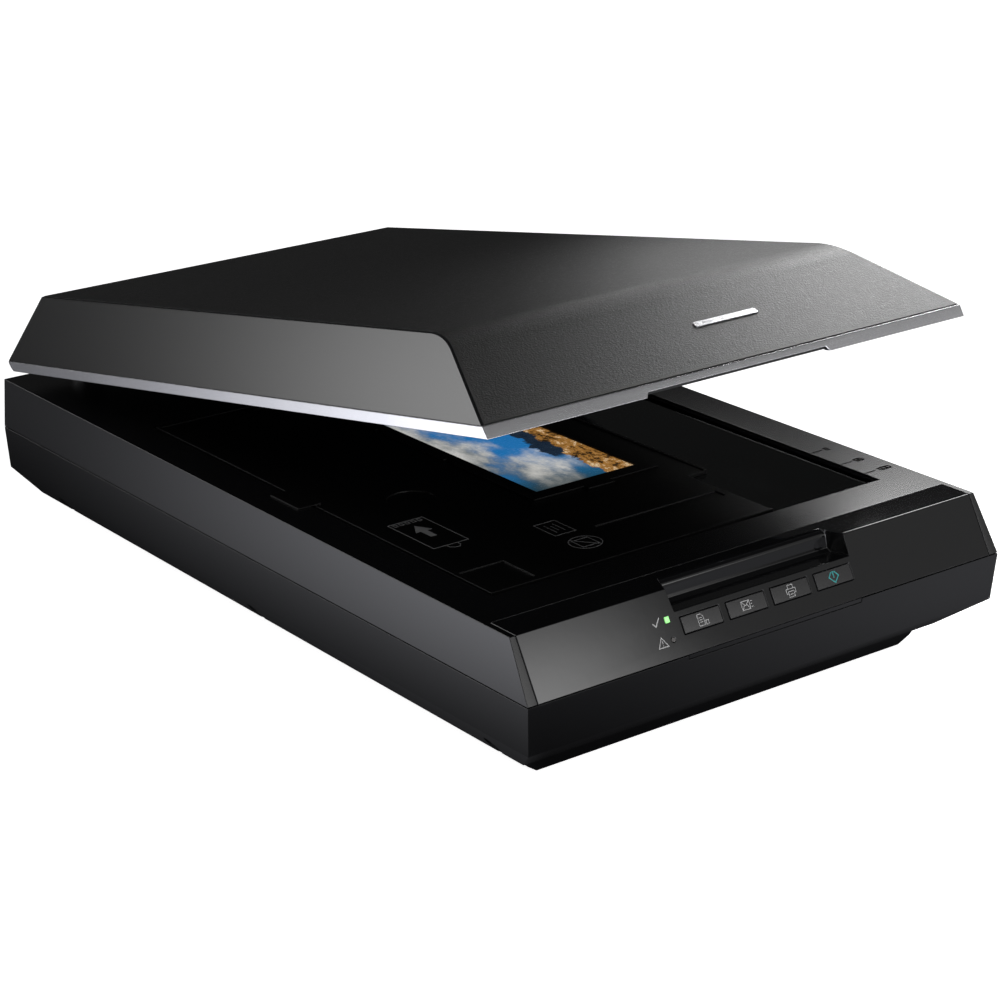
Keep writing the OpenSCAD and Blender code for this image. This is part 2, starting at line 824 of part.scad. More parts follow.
module sensor_board() {
    color("#1d5c34") span([-34, 176.4, 40], [34, car_y1 - car_wall, 67]);
    color("#3a3a40") span([-20, 173.6, 50], [20, 176.4, 58]);
}

// ---------------------------------------------------------------- feet and screws

module rubber_feet() {
    color("#3c3c3e") for (p = foot_spots) post(p[0], p[1], 0, 2.3, foot_r);
}

module case_screws() {
    color("#8d8f92") for (p = screw_spots) difference() {
        union() {
            post(p[0], p[1], screw_head_z - 2, screw_head_z, 3.2);
            post(p[0], p[1], screw_head_z - eps, 64, 1.5);
        }
        for (a = [0, 90]) translate([p[0], p[1], screw_head_z - 2]) rotate(a)
            cube([3.6, 0.8, 2], center = true);
    }
}

// ---------------------------------------------------------------- hinge

module hinge_posts() {
    color("#19191b") translate([0, 0, lid_raise]) for (x = [-hinge_x, hinge_x]) difference() {
        union() {
            span([x - post_half[0], hinge_y - post_half[1], 30],
                 [x + post_half[0], hinge_y + post_half[1], hinge_z]);
            rod_x_dir(x - post_half[0], x + post_half[0], hinge_y, hinge_z, post_half[1]);
        }
        rod_x_dir(x - 10, x + 10, hinge_y, hinge_z, pin_r + pin_fit);
    }
}

cheek_x0 = 6.4;
cheek_x1 = 8.9;

// Two clevises, one on each side, screwed on the inner panel
module hinge_brackets() {
    color("#8d8f92") lid_pose() for (x = [-hinge_x, hinge_x]) difference() {
        union() {
            span([x - cheek_x1, hinge_y - 26, plate_z1], [x + cheek_x1, hinge_y - 9.6, plate_z1 + 2.6]);
            for (s = [-1, 1]) {
                a = x + s * (cheek_x0 + cheek_x1) / 2;
                t = (cheek_x1 - cheek_x0) / 2;
                span([a - t, hinge_y - 10, plate_z1], [a + t, hinge_y, plate_z1 + 5.8]);
                rod_x_dir(a - t, a + t, hinge_y, hinge_z, 4.8);
            }
        }
        rod_x_dir(x - 10, x + 10, hinge_y, hinge_z, pin_r);
        post(x, hinge_y - 20, plate_z1 - 1, plate_z1 + 4, 1.7);
    }
}

module hinge_pins() {
    color("#d4d6d8") lid_pose() for (x = [-hinge_x, hinge_x])
        rod_x_dir(x - cheek_x1, x + cheek_x1, hinge_y, hinge_z, pin_r);
}

// Cable of the lid's lamp: up from the board, through the deck and into the lid
module lid_cable() {
    color("#1b1b1d") tube(concat(
        [[cable_x, 225, board_z1 + 7.2], [cable_x, 225, 40]],
        [for (a = [180 : -30 : 90]) [cable_x, hinge_y + 7 * cos(a), 42 + 7 * sin(a)]],
        [[cable_x, hinge_y, 58], [cable_x, hinge_y, 84], [cable_x, hinge_y, hinge_z + lid_raise + 7]]
    ), 2.2, 16);
}

// ---------------------------------------------------------------- lid

// Closed [Y, Z] outline of the lid's cover, inset by t, with a rounded front ridge
function cover_side(t) =
    let (run = lid_ridge_y - lid_y1)
    let (rise = lid_top - band_z1)
    let (a = atan2(rise, run))
    let (ridge = [lid_ridge_y + t * tan(a / 2), lid_top - t])
    let (tangent = ridge_r * tan(a / 2))
    concat(
        [[lid_y1 + t / sin(a), band_z1]],
        arc([ridge[0] + tangent, ridge[1] - ridge_r], ridge_r, 90 + a, 90, 10),
        [[lid_back_top - t, lid_top - t], [lid_back_y - t, hinge_z], [lid_back_y - 0.13 - t, band_z1]]
    );

function cover_front(t) = mirrored([
    [band_half1 - 1.26 * t, band_z1], [lid_half_top - 0.45 * t, lid_top - t]
]);

module cover_solid(t) {
    intersection() {
        along_x(cover_side(t), long);
        along_y(cover_front(t), long);
    }
}

lid_screw_spots = [for (x = [-127, 127], y = [-190, -60, 70, 200]) [x, y]];

// Slots at the rear through which the hinge posts and the cable reach into the lid
module rear_slots(side_gap) {
    for (x = [-hinge_x, hinge_x])
        span([x - post_half[0] - side_gap, hinge_y - 8, deck_z],
             [x + post_half[0] + side_gap, long, hinge_z + 7.4]);
    span([cable_x - 4.5, hinge_y - 6, deck_z], [cable_x + 4.5, long, hinge_z + 7.4]);
}

module lid_cover() {
    color("#232326") lid_pose() difference() {
        union() {
            difference() {
                cover_solid(0);
                translate([0, 0, -eps]) cover_solid(wall);
            }
            intersection() {
                cover_solid(1);
                for (p = lid_screw_spots) post(p[0], p[1], plate_z1, plate_z1 + 7.4, 4);
            }
        }
        for (p = lid_screw_spots) post(p[0], p[1], plate_z1 - 1, plate_z1 + 6.4, 1.4);
        rear_slots(0.6);
    }
}

module lid_trim() {
    back = concat(
        arc([hinge_y, hinge_z], lid_back_r, -asin((hinge_z - band_z0) / lid_back_r), 0, 6),
        [[lid_back_y - 0.13, band_z1]]
    );
    back_low = [for (p = back) if (p[1] <= band_z1) p];
    color("#c9cacd") lid_pose() difference() {
        intersection() {
            along_x(concat(
                [[lid_y1, band_z1], [lid_y0, band_z0]], back_low, [[lid_back_y - 0.13, band_z1]]
            ), long);
            along_y(mirrored([[band_half0, band_z0], [band_half1, band_z1]]), long);
        }
        span([-band_in_x, band_in_y0, deck_z], [band_in_x, band_in_y1, lid_top]);
        // Finger notch over the recess in the case
        intersection() {
            along_y(mirrored([[54, deck_z], [51.6, band_z0 + 2.3]]), long);
            span([-60, -long, deck_z], [60, 0, lid_top]);
        }
        rear_slots(0.6);
    }
}

module lid_inner_panel() {
    color("#1b1b1d") lid_pose() difference() {
        span([-band_in_x + 0.2, band_in_y0 + 0.2, rim_z0], [band_in_x - 0.2, band_in_y1 - 0.2, plate_z1]);
        // Pocket of the document mat, with room to slide it free
        span([-121, -212, deck_z], [121, 124, plate_z0]);
        span([backlight_x - 38, -110, deck_z], [backlight_x + 38, 110, lid_top]);
        for (p = lid_screw_spots) {
            post(p[0], p[1], deck_z, plate_z0 - 0.6, 3.2);
            post(p[0], p[1], deck_z, lid_top, 1.6);
        }
        rear_slots(3.4);
        for (x = [-hinge_x, hinge_x]) post(x, hinge_y - 20, deck_z, lid_top, 1.5);
    }
}

module lid_screws() {
    color("#8d8f92") lid_pose() for (p = lid_screw_spots) {
        post(p[0], p[1], plate_z0 - 2.4, plate_z0 - 0.6, 3);
        post(p[0], p[1], plate_z0 - 0.6 - eps, plate_z1 + 6, 1.4);
    }
}

module lid_bumpers() {
    color("#3c3c3e") lid_pose() for (x = [-128, 128], y = [-218, 212])
        post(x, y, deck_z + 0.3, rim_z0, 3.4);
}

// Layer of the lid's lamp between two heights above the inner panel's plate
module lamp_layer(low, high) {
    lid_pose() span([backlight_x - 42, -112, plate_z1 + low], [backlight_x + 42, 112, plate_z1 + high]);
}

module lid_window() {
    color("#eef2f2") lamp_layer(0, 2);
}

module light_guide() {
    color("#dfe8ea") lamp_layer(2, 6);
}

module backlight_reflector() {
    color("#f6f6f4") lamp_layer(6, 6.5);
}

module led_strip() {
    color("#f0ead2") lid_pose() {
        span([backlight_x - 42, 114.2, plate_z1], [backlight_x + 42, 115.6, plate_z1 + 6.4]);
        for (i = [0 : 9])
            span([backlight_x - 38 + 8 * i, 112.6, plate_z1 + 2.4],
                 [backlight_x - 34.6 + 8 * i, 114.2 + eps, plate_z1 + 5.4]);
    }
}

module document_mat() {
    color("#f2f2ef") lid_pose() span([-119, -196, mat_z0], [119, 122, plate_z0 - 0.2]);
}

// ---------------------------------------------------------------- film holder

module film_holder() {
    color("#101012") difference() {
        union() {
            span([holder_x0, holder_y0, glass_top], [holder_x1, holder_y1, holder_z1]);
            span([holder_x1 - eps, holder_step_y, glass_top], [holder_x2, holder_y1, holder_z1]);
            // Raised border strips
            span([holder_x0, holder_y0, glass_top], [holder_x0 + 2, holder_y1, holder_z1 + 0.6]);
            span([holder_x0, holder_y0, glass_top], [holder_x1, holder_y0 + 2, holder_z1 + 0.6]);
            span([holder_x2 - 2, holder_step_y, glass_top], [holder_x2, holder_y1, holder_z1 + 0.6]);
            span([holder_x0, holder_y1 - 2, glass_top], [holder_x2, holder_y1, holder_z1 + 0.6]);
            // Locating tab that rests on the left bezel
            span([holder_x0, -41, glass_top], [holder_x0 + 3.5, -15, deck_z + 0.7]);
            span([-124, -41, deck_z], [holder_x0 + 1, -15, deck_z + 0.7]);
        }
        span([film_x - film_half, film_y0, 0], [film_x + film_half, film_y1, long]);
        // Shallow square pocket at the front left corner
        span([-111, -183, glass_top + 1.1], [-86.5, -158, long]);
        // Slot where the film is slid in
        span([-28, -158, glass_top + 1.1], [50 - 4, -150, long]);
        // Finger notch
        post(-73, -62, glass_top + 1.1, long, 12);
        // Calibration gap at the hinge end
        span([-60, 104, 0], [50, 110, long]);
    }
}

module film_cover() {
    color("#131315") difference() {
        union() {
            span([film_x - film_half - 7, film_y0 - 8, cover_z0],
                 [film_x + film_half + 7, film_y1 + 8, cover_z1]);
            span([film_x - 8, film_y0 - 12, cover_z0], [film_x + 8, film_y0 - 7, cover_z1]);
        }
        span([film_x - film_half + 0.6, film_y0 + 0.6, 0], [film_x + film_half - 0.6, film_y1 - 0.6, long]);
        for (y = [-35, 28]) span([film_x - film_half - 8, y, 0], [film_x - film_half - 5, y + 8, long]);
    }
}

module film_strip() {
    color("#3b6ea8")
        span([film_x - film_half - 1, film_y0 - 4, holder_z1],
             [film_x + film_half + 1, film_y1 + 4, cover_z0]);
}

// ---------------------------------------------------------------- show one node or all

lower_case();
upper_case();
front_panel();
platen_glass();
calibration_strip();
document_key();
mail_key();
copy_key();
start_key();
ready_light();
error_light();
panel_board();
tact_switches();
power_button();
transport_lock();
main_board();
board_components();
usb_port();
power_jack();
stepper_motor();
motor_bracket();
motor_pinion();
drive_gear();
pulley_axles();
idler_pulley();
axle_clips();
belt_tensioner();
tension_spring();
timing_belt();
belt_clamp();
guide_rod();
rod_clamps();
carriage_housing();
carriage_cover();
carriage_bearings();
light_bar();
optical_mirrors();
lens_barrel();
sensor_board();
flat_cable();
home_sensor();
rubber_feet();
case_screws();
hinge_posts();
hinge_brackets();
hinge_pins();
lid_cable();
lid_cover();
lid_trim();
lid_inner_panel();
lid_window();
light_guide();
led_strip();
backlight_reflector();
lid_screws();
document_mat();
film_holder();
film_cover();
film_strip();
lid_bumpers();
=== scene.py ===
"""Looks of the flatbed photo scanner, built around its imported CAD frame. Lengths are in metres."""

import json
import math

import bmesh
import bpy
from mathutils import Matrix, Vector


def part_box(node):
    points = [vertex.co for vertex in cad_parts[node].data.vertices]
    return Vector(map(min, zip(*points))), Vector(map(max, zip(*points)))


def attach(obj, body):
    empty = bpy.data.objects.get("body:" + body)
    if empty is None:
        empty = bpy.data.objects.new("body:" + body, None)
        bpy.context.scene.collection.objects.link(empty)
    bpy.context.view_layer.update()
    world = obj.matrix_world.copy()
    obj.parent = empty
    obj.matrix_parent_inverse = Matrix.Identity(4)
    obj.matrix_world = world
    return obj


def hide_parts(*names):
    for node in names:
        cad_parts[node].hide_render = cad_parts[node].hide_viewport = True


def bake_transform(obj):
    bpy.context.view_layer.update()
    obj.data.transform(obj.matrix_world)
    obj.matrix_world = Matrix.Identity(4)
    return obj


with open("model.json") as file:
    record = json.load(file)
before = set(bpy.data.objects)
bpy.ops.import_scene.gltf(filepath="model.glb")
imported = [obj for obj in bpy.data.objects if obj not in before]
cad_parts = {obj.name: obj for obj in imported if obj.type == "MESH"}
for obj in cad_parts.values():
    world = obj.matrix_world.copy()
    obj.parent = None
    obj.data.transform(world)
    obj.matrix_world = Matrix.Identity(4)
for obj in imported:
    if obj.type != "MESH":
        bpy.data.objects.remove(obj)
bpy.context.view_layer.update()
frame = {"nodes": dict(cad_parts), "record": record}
nodes = frame["nodes"]
joints = {joint["name"]: joint for joint in frame["record"]["behaviour"]["joints"]}

MM = 0.001
SLOPE = math.radians(61.23)  # lean of the control panel
SEAM = Vector((0, -250, 52.7)) * MM  # foot of the control panel's slope
KEY_ROW = 13.4  # millimetres from that foot up to the middle of the keys

# The lid at rest is part open, on posts that are part raised.
# Its outlines below are for the shut lid.
LID_OPEN = math.radians(-joints["lid_hinge"]["range_deg"][0])
LID_RAISE = -joints["lid_rise"]["range_m"][0]
HINGE = Vector(joints["lid_hinge"]["pos_m"]) - Vector((0, 0, LID_RAISE))

# Local frame of the control panel: X across, Y up the slope, Z out of its face
ON_SLOPE = Matrix.Translation(SEAM) @ Matrix.Rotation(SLOPE, 4, "X")
# From the shut lid to the lid at rest
LID_POSE = (
    Matrix.Translation(HINGE + Vector((0, 0, LID_RAISE)))
    @ Matrix.Rotation(-LID_OPEN, 4, "X")
    @ Matrix.Translation(-HINGE)
)


# ---------------------------------------------------------------- shader notation


class Graph:
    """Short notation for a tree of shader nodes, which starts empty unless its nodes are kept."""

    def __init__(self, tree, keep=False):
        self.tree = tree
        if not keep:
            tree.nodes.clear()

    def node(self, kind, settings=None, **inputs):
        made = self.tree.nodes.new("ShaderNode" + kind)
        for key, value in (settings or {}).items():
            setattr(made, key, value)
        for key, value in inputs.items():
            self.plug(made.inputs[key.replace("_", " ")], value)
        return made

    def plug(self, socket, value):
        if isinstance(value, bpy.types.NodeSocket):
            self.tree.links.new(value, socket)
        elif isinstance(value, bpy.types.Node):
            self.tree.links.new(value.outputs[0], socket)
        else:
            socket.default_value = value

    def math(self, operation, a, b=0.0):
        made = self.node("Math", {"operation": operation})
        self.plug(made.inputs[0], a)
        self.plug(made.inputs[1], b)
        return made.outputs[0]

    def ramp(self, value, low, high, start=0.0, end=1.0):
        """Smooth step of value between low and high, from start to end."""
        made = self.node("MapRange", {"interpolation_type": "SMOOTHSTEP"}, Value=value)
        made.inputs["From Min"].default_value = low
        made.inputs["From Max"].default_value = high
        made.inputs["To Min"].default_value = start
        made.inputs["To Max"].default_value = end
        return made.outputs["Result"]

    def mix(self, factor, a, b, blend="MIX"):
        made = self.node("MixRGB", {"blend_type": blend})
        self.plug(made.inputs[0], factor)
        self.plug(made.inputs[1], a)
        self.plug(made.inputs[2], b)
        return made.outputs[0]

    def product(self, first, *others):
        for other in others:
            first = self.math("MULTIPLY", first, other)
        return first

    def place(self):
        """Position in the row frame at rest, whatever the pose."""
        return self.node("TexCoord").outputs["Object"]

    def stretched(self, factors, where=None):
        made = self.node("VectorMath", {"operation": "MULTIPLY"})
        self.plug(made.inputs[0], where or self.place())
        made.inputs[1].default_value = factors
        return made.outputs[0]

    def noise(self, size, detail=2.0, rough=0.5, where=None):
        made = self.node("TexNoise", None, Scale=1 / size, Detail=detail, Roughness=rough)
        self.plug(made.inputs["Vector"], where or self.place())
        return made.outputs["Fac"]

    def cells(self, size, feature="F1", where=None):
        made = self.node("TexVoronoi", {"feature": feature}, Scale=1 / size)
        self.plug(made.inputs["Vector"], where or self.place())
        return made.outputs["Distance"]

    def axes(self, where=None):
        made = self.node("SeparateXYZ")
        self.plug(made.inputs[0], where or self.place())
        return made.outputs


def grey(value, tint=(1.0, 1.0, 1.0)):
    return (value * tint[0], value * tint[1], value * tint[2], 1.0)


def new_material(name):
    """An empty material and the graph of its nodes."""
    material = bpy.data.materials.new(name)
    material.use_nodes = True
    return material, Graph(material.node_tree)


def reopened(material):
    """The graph of a finished material and its main shader, to be changed."""
    g = Graph(material.node_tree, keep=True)
    return g, next(n for n in g.tree.nodes if n.type == "BSDF_PRINCIPLED")


BLOTCH, FINE = 35 * MM, 3 * MM  # sizes of the uneven patches of colour and gloss
EDGE_WEAR_AND_HIGHLIGHT_REACH = 0.5 * MM  # how far wear, and the painted highlight on the gloss panel, reach from an edge


def finish(
    name,
    colour,
    rough,
    grain=0.5 * MM,
    depth=0.01 * MM,
    pattern="spark",
    vary=0.12,
    rough_vary=0.1,
    edge=0.0,
    metal=0.0,
    coat=0.0,
    specular=0.5,
    brushed=None,
):
    """Moulded, cast or brushed: blotchy colour, uneven gloss, grain in relief, and paler edges that
    are wear and, on the gloss panel, a painted highlight.
    """
    material, g = new_material(name)
    material.diffuse_color = colour
    blotch = g.noise(BLOTCH, 3.0)
    fine = g.noise(FINE, 4.0, 0.6)
    tone = g.math("ADD", g.math("MULTIPLY", blotch, 0.6), g.math("MULTIPLY", fine, 0.4))
    tone = g.ramp(tone, 0.25, 0.75, 1 - vary, 1 + vary)
    shade = g.mix(1.0, colour, tone, "MULTIPLY")
    where = g.stretched(brushed) if brushed else None
    if pattern == "leather":
        cell = g.cells(grain, where=where)
        swirl = g.noise(grain * 0.8, 3.0, 0.6)
        height = g.math("ADD", g.math("MULTIPLY", cell, 0.8), g.math("MULTIPLY", swirl, 0.9))
    elif pattern == "pores":
        height = g.ramp(g.cells(grain), 0.1, 0.55)
    else:
        height = g.noise(grain, 3.0, 0.65, where)
    gloss = g.math("ADD", g.math("MULTIPLY", fine, 0.5), g.math("MULTIPLY", height, 0.5))
    gloss = g.ramp(gloss, 0.25, 0.75, max(0.02, rough - rough_vary), min(1.0, rough + rough_vary))
    # Paler edges: wear on most finishes, and on the gloss panel a painted highlight along its crest
    # and seams.
    if edge:
        bevel = g.node("Bevel", {"samples": 4}, Radius=EDGE_WEAR_AND_HIGHLIGHT_REACH)
        turn = g.node("VectorMath", {"operation": "DOT_PRODUCT"})
        g.plug(turn.inputs[0], bevel)
        g.plug(turn.inputs[1], g.node("NewGeometry").outputs["Normal"])
        wear_and_highlight = g.ramp(turn.outputs["Value"], 0.995, 0.86)
        wear_and_highlight = g.math("MULTIPLY", wear_and_highlight, g.ramp(fine, 0.3, 0.6, 0.45, 1.0))
        shade = g.mix(g.math("MULTIPLY", wear_and_highlight, edge), shade, grey(0.35, (1, 1, 1.03)))
    bump = g.node("Bump", None, Strength=1.0, Distance=depth, Height=height)
    shader = g.node(
        "BsdfPrincipled", None, Base_Color=shade, Roughness=gloss, Metallic=metal, Normal=bump
    )
    shader.inputs["Specular IOR Level"].default_value = specular
    if coat:
        shader.inputs["Coat Weight"].default_value = coat
        shader.inputs["Coat Roughness"].default_value = 0.04
    g.plug(g.node("OutputMaterial").inputs["Surface"], shader)
    return material


# ---------------------------------------------------------------- materials


def see_through(name, tint, gloss_tint):
    """Dark plate glass: what lies behind it shows dimly under a clean reflection."""
    material, g = new_material(name)
    smear = g.noise(22 * MM, 4.0, 0.6)
    bump = g.node("Bump", None, Strength=0.2, Distance=0.02 * MM, Height=g.noise(60 * MM, 1.0))
    gloss = g.node("BsdfGlossy", None, Color=gloss_tint, Normal=bump)
    g.plug(gloss.inputs["Roughness"], g.ramp(smear, 0.3, 0.8, 0.015, 0.07))
    clear = g.node("BsdfTransparent", None, Color=tint)
    facing = g.node("Fresnel", None, IOR=1.5)
    both = g.node("MixShader")
    g.plug(both.inputs[0], facing)
    g.plug(both.inputs[1], clear)
    g.plug(both.inputs[2], gloss)
    g.plug(g.node("OutputMaterial").inputs["Surface"], both)
    return material


def lamp(name, colour, centre, reach, middle, rim):
    """Small lit lens, as bright as middle at its centre and as rim a reach away."""
    material = finish(name, colour, 0.2, grain=0.6 * MM)
    g, shader = reopened(material)
    away = g.node("VectorMath", {"operation": "DISTANCE"})
    g.plug(away.inputs[0], g.place())
    away.inputs[1].default_value = centre
    shader.inputs["Emission Color"].default_value = colour
    g.plug(shader.inputs["Emission Strength"], g.ramp(away.outputs["Value"], 0, reach, middle, rim))
    return material


TINNED = (0.75, 0.72, 0.62, 1)


def board_finish():
    """Solder mask with copper tracks and tinned pads showing."""
    material = finish("circuit_board", (0.01, 0.11, 0.035, 1), 0.35, grain=0.6 * MM, coat=0.3)
    g, shader = reopened(material)
    mask = shader.inputs["Base Color"].links[0].from_socket
    bricks = g.node("TexBrick", {"offset": 0.37, "squash": 0.6}, Scale=260.0)
    g.plug(bricks.inputs["Vector"], g.place())
    bricks.inputs["Mortar Size"].default_value = 0.06
    pads = g.ramp(g.cells(2.6 * MM), 0.13, 0.10)
    tracked = g.mix(g.math("MULTIPLY", bricks.outputs["Fac"], 0.7), mask, (0.03, 0.22, 0.06, 1))
    g.plug(shader.inputs["Base Color"], g.mix(pads, tracked, TINNED))
    g.plug(shader.inputs["Metallic"], g.math("MULTIPLY", pads, 0.9))
    return material


RIBBON_PITCH = 1 * MM


def ribbon_finish():
    """Parallel tinned tracks under clear film."""
    material = finish("ribbon", (0.62, 0.6, 0.54, 1), 0.3, grain=1.2 * MM, depth=0.02 * MM)
    g, shader = reopened(material)
    tracks = g.math("PINGPONG", g.math("MULTIPLY", g.axes()[0], 1 / RIBBON_PITCH), 0.5)
    shade = g.mix(g.ramp(tracks, 0.2, 0.3), TINNED, (0.45, 0.44, 0.4, 1))
    g.plug(shader.inputs["Base Color"], shade)
    return material


def landscape(g):
    """Colours of the picture on the film: cloudy sky, far blue hills and a dry rocky slope."""
    x, y = g.axes()[0], g.axes()[1]
    cloud = g.noise(24 * MM, 6.0, 0.55, g.stretched((1.0, 0.45, 1.0)))
    high = g.noise(60 * MM, 2.0, 0.5, g.stretched((1.0, 0.5, 1.0)))
    cover = g.math("ADD", g.math("MULTIPLY", cloud, 0.7), g.math("MULTIPLY", high, 0.5))
    # More cloud towards the near left side, clear sky beside the hill
    bank = g.math("ADD", x, g.math("MULTIPLY", y, 0.25))
    cover = g.math("ADD", cover, g.ramp(bank, -25 * MM, 12 * MM, 0.16, -0.09))
    cover = g.ramp(cover, 0.53, 0.70)
    sky = g.mix(g.ramp(y, -97 * MM, -40 * MM), (0.05, 0.30, 0.60, 1), (0.05, 0.48, 1.25, 1))
    puff = g.mix(g.ramp(cloud, 0.38, 0.66), (0.15, 0.21, 0.23, 1), (1.7, 1.67, 1.58, 1))
    picture = g.mix(cover, sky, puff)
    # Darker at the near end of the sky
    near_end = g.math("ADD", y, g.math("MULTIPLY", x, 0.3))
    picture = g.mix(g.ramp(near_end, -108 * MM, -70 * MM, 0.8, 0.0), picture, (0.02, 0.08, 0.11, 1))
    # Ragged skyline, with the far hills behind the near slope
    ragged = g.math("MULTIPLY", g.math("SUBTRACT", g.noise(9 * MM, 5.0, 0.6), 0.5), 16 * MM)
    skyline = g.math("ADD", g.math("SUBTRACT", x, g.math("MULTIPLY", y, 0.10)), ragged)
    far = g.product(g.ramp(skyline, 20 * MM, 22 * MM), g.ramp(y, -62 * MM, -56 * MM))
    hills = g.mix(g.noise(3 * MM, 4.0), (0.01, 0.03, 0.07, 1), (0.06, 0.1, 0.16, 1))
    picture = g.mix(far, picture, hills)
    rock = g.noise(4.6 * MM, 6.0, 0.72, g.stretched((1.0, 0.6, 1.0)))
    stone = g.mix(g.ramp(rock, 0.41, 0.51), (0.07, 0.04, 0.018, 1), (0.95, 0.44, 0.10, 1))
    stone = g.mix(g.ramp(rock, 0.55, 0.62), stone, (2.0, 1.45, 0.85, 1))
    picture = g.mix(g.ramp(skyline, 30 * MM, 31.2 * MM), picture, stone)
    # Unexposed margins along the two long edges
    margin = g.math("ABSOLUTE", g.math("SUBTRACT", x, 8 * MM))
    return g.mix(g.ramp(margin, 31.0 * MM, 31.3 * MM), picture, (0.01, 0.009, 0.008, 1))


def film_finish():
    """Colour transparency, glossy, with a painted glow of its own picture as if lit from below."""
    material, g = new_material("film")
    picture = landscape(g)
    bump = g.node("Bump", None, Strength=0.4, Distance=0.02 * MM, Height=g.noise(20 * MM, 2.0))
    dimmed = g.mix(0.6, picture, (0, 0, 0, 1))
    shader = g.node("BsdfPrincipled", None, Base_Color=dimmed, Normal=bump)
    g.plug(shader.inputs["Roughness"], g.ramp(g.noise(2 * MM, 3.0), 0.3, 0.7, 0.16, 0.3))
    shader.inputs["Specular IOR Level"].default_value = 0.15
    # Painted glow: the picture emits faintly, though no lamp lights the film.
    g.plug(shader.inputs["Emission Color"], picture)
    shader.inputs["Emission Strength"].default_value = 0.25
    g.plug(g.node("OutputMaterial").inputs["Surface"], shader)
    return material


def dim_in_mirrors(material):
    """Keeps a pale underside from showing in the glass and the gloss below it."""
    g, _ = reopened(material)
    output = next(n for n in g.tree.nodes if n.type == "OUTPUT_MATERIAL")
    lit = output.inputs["Surface"].links[0].from_socket
    both = g.node("MixShader")
    g.plug(both.inputs[0], g.node("LightPath").outputs["Is Glossy Ray"])
    g.plug(both.inputs[1], lit)
    g.plug(both.inputs[2], g.node("BsdfDiffuse", None, Color=grey(0.01)))
    g.plug(output.inputs["Surface"], both)


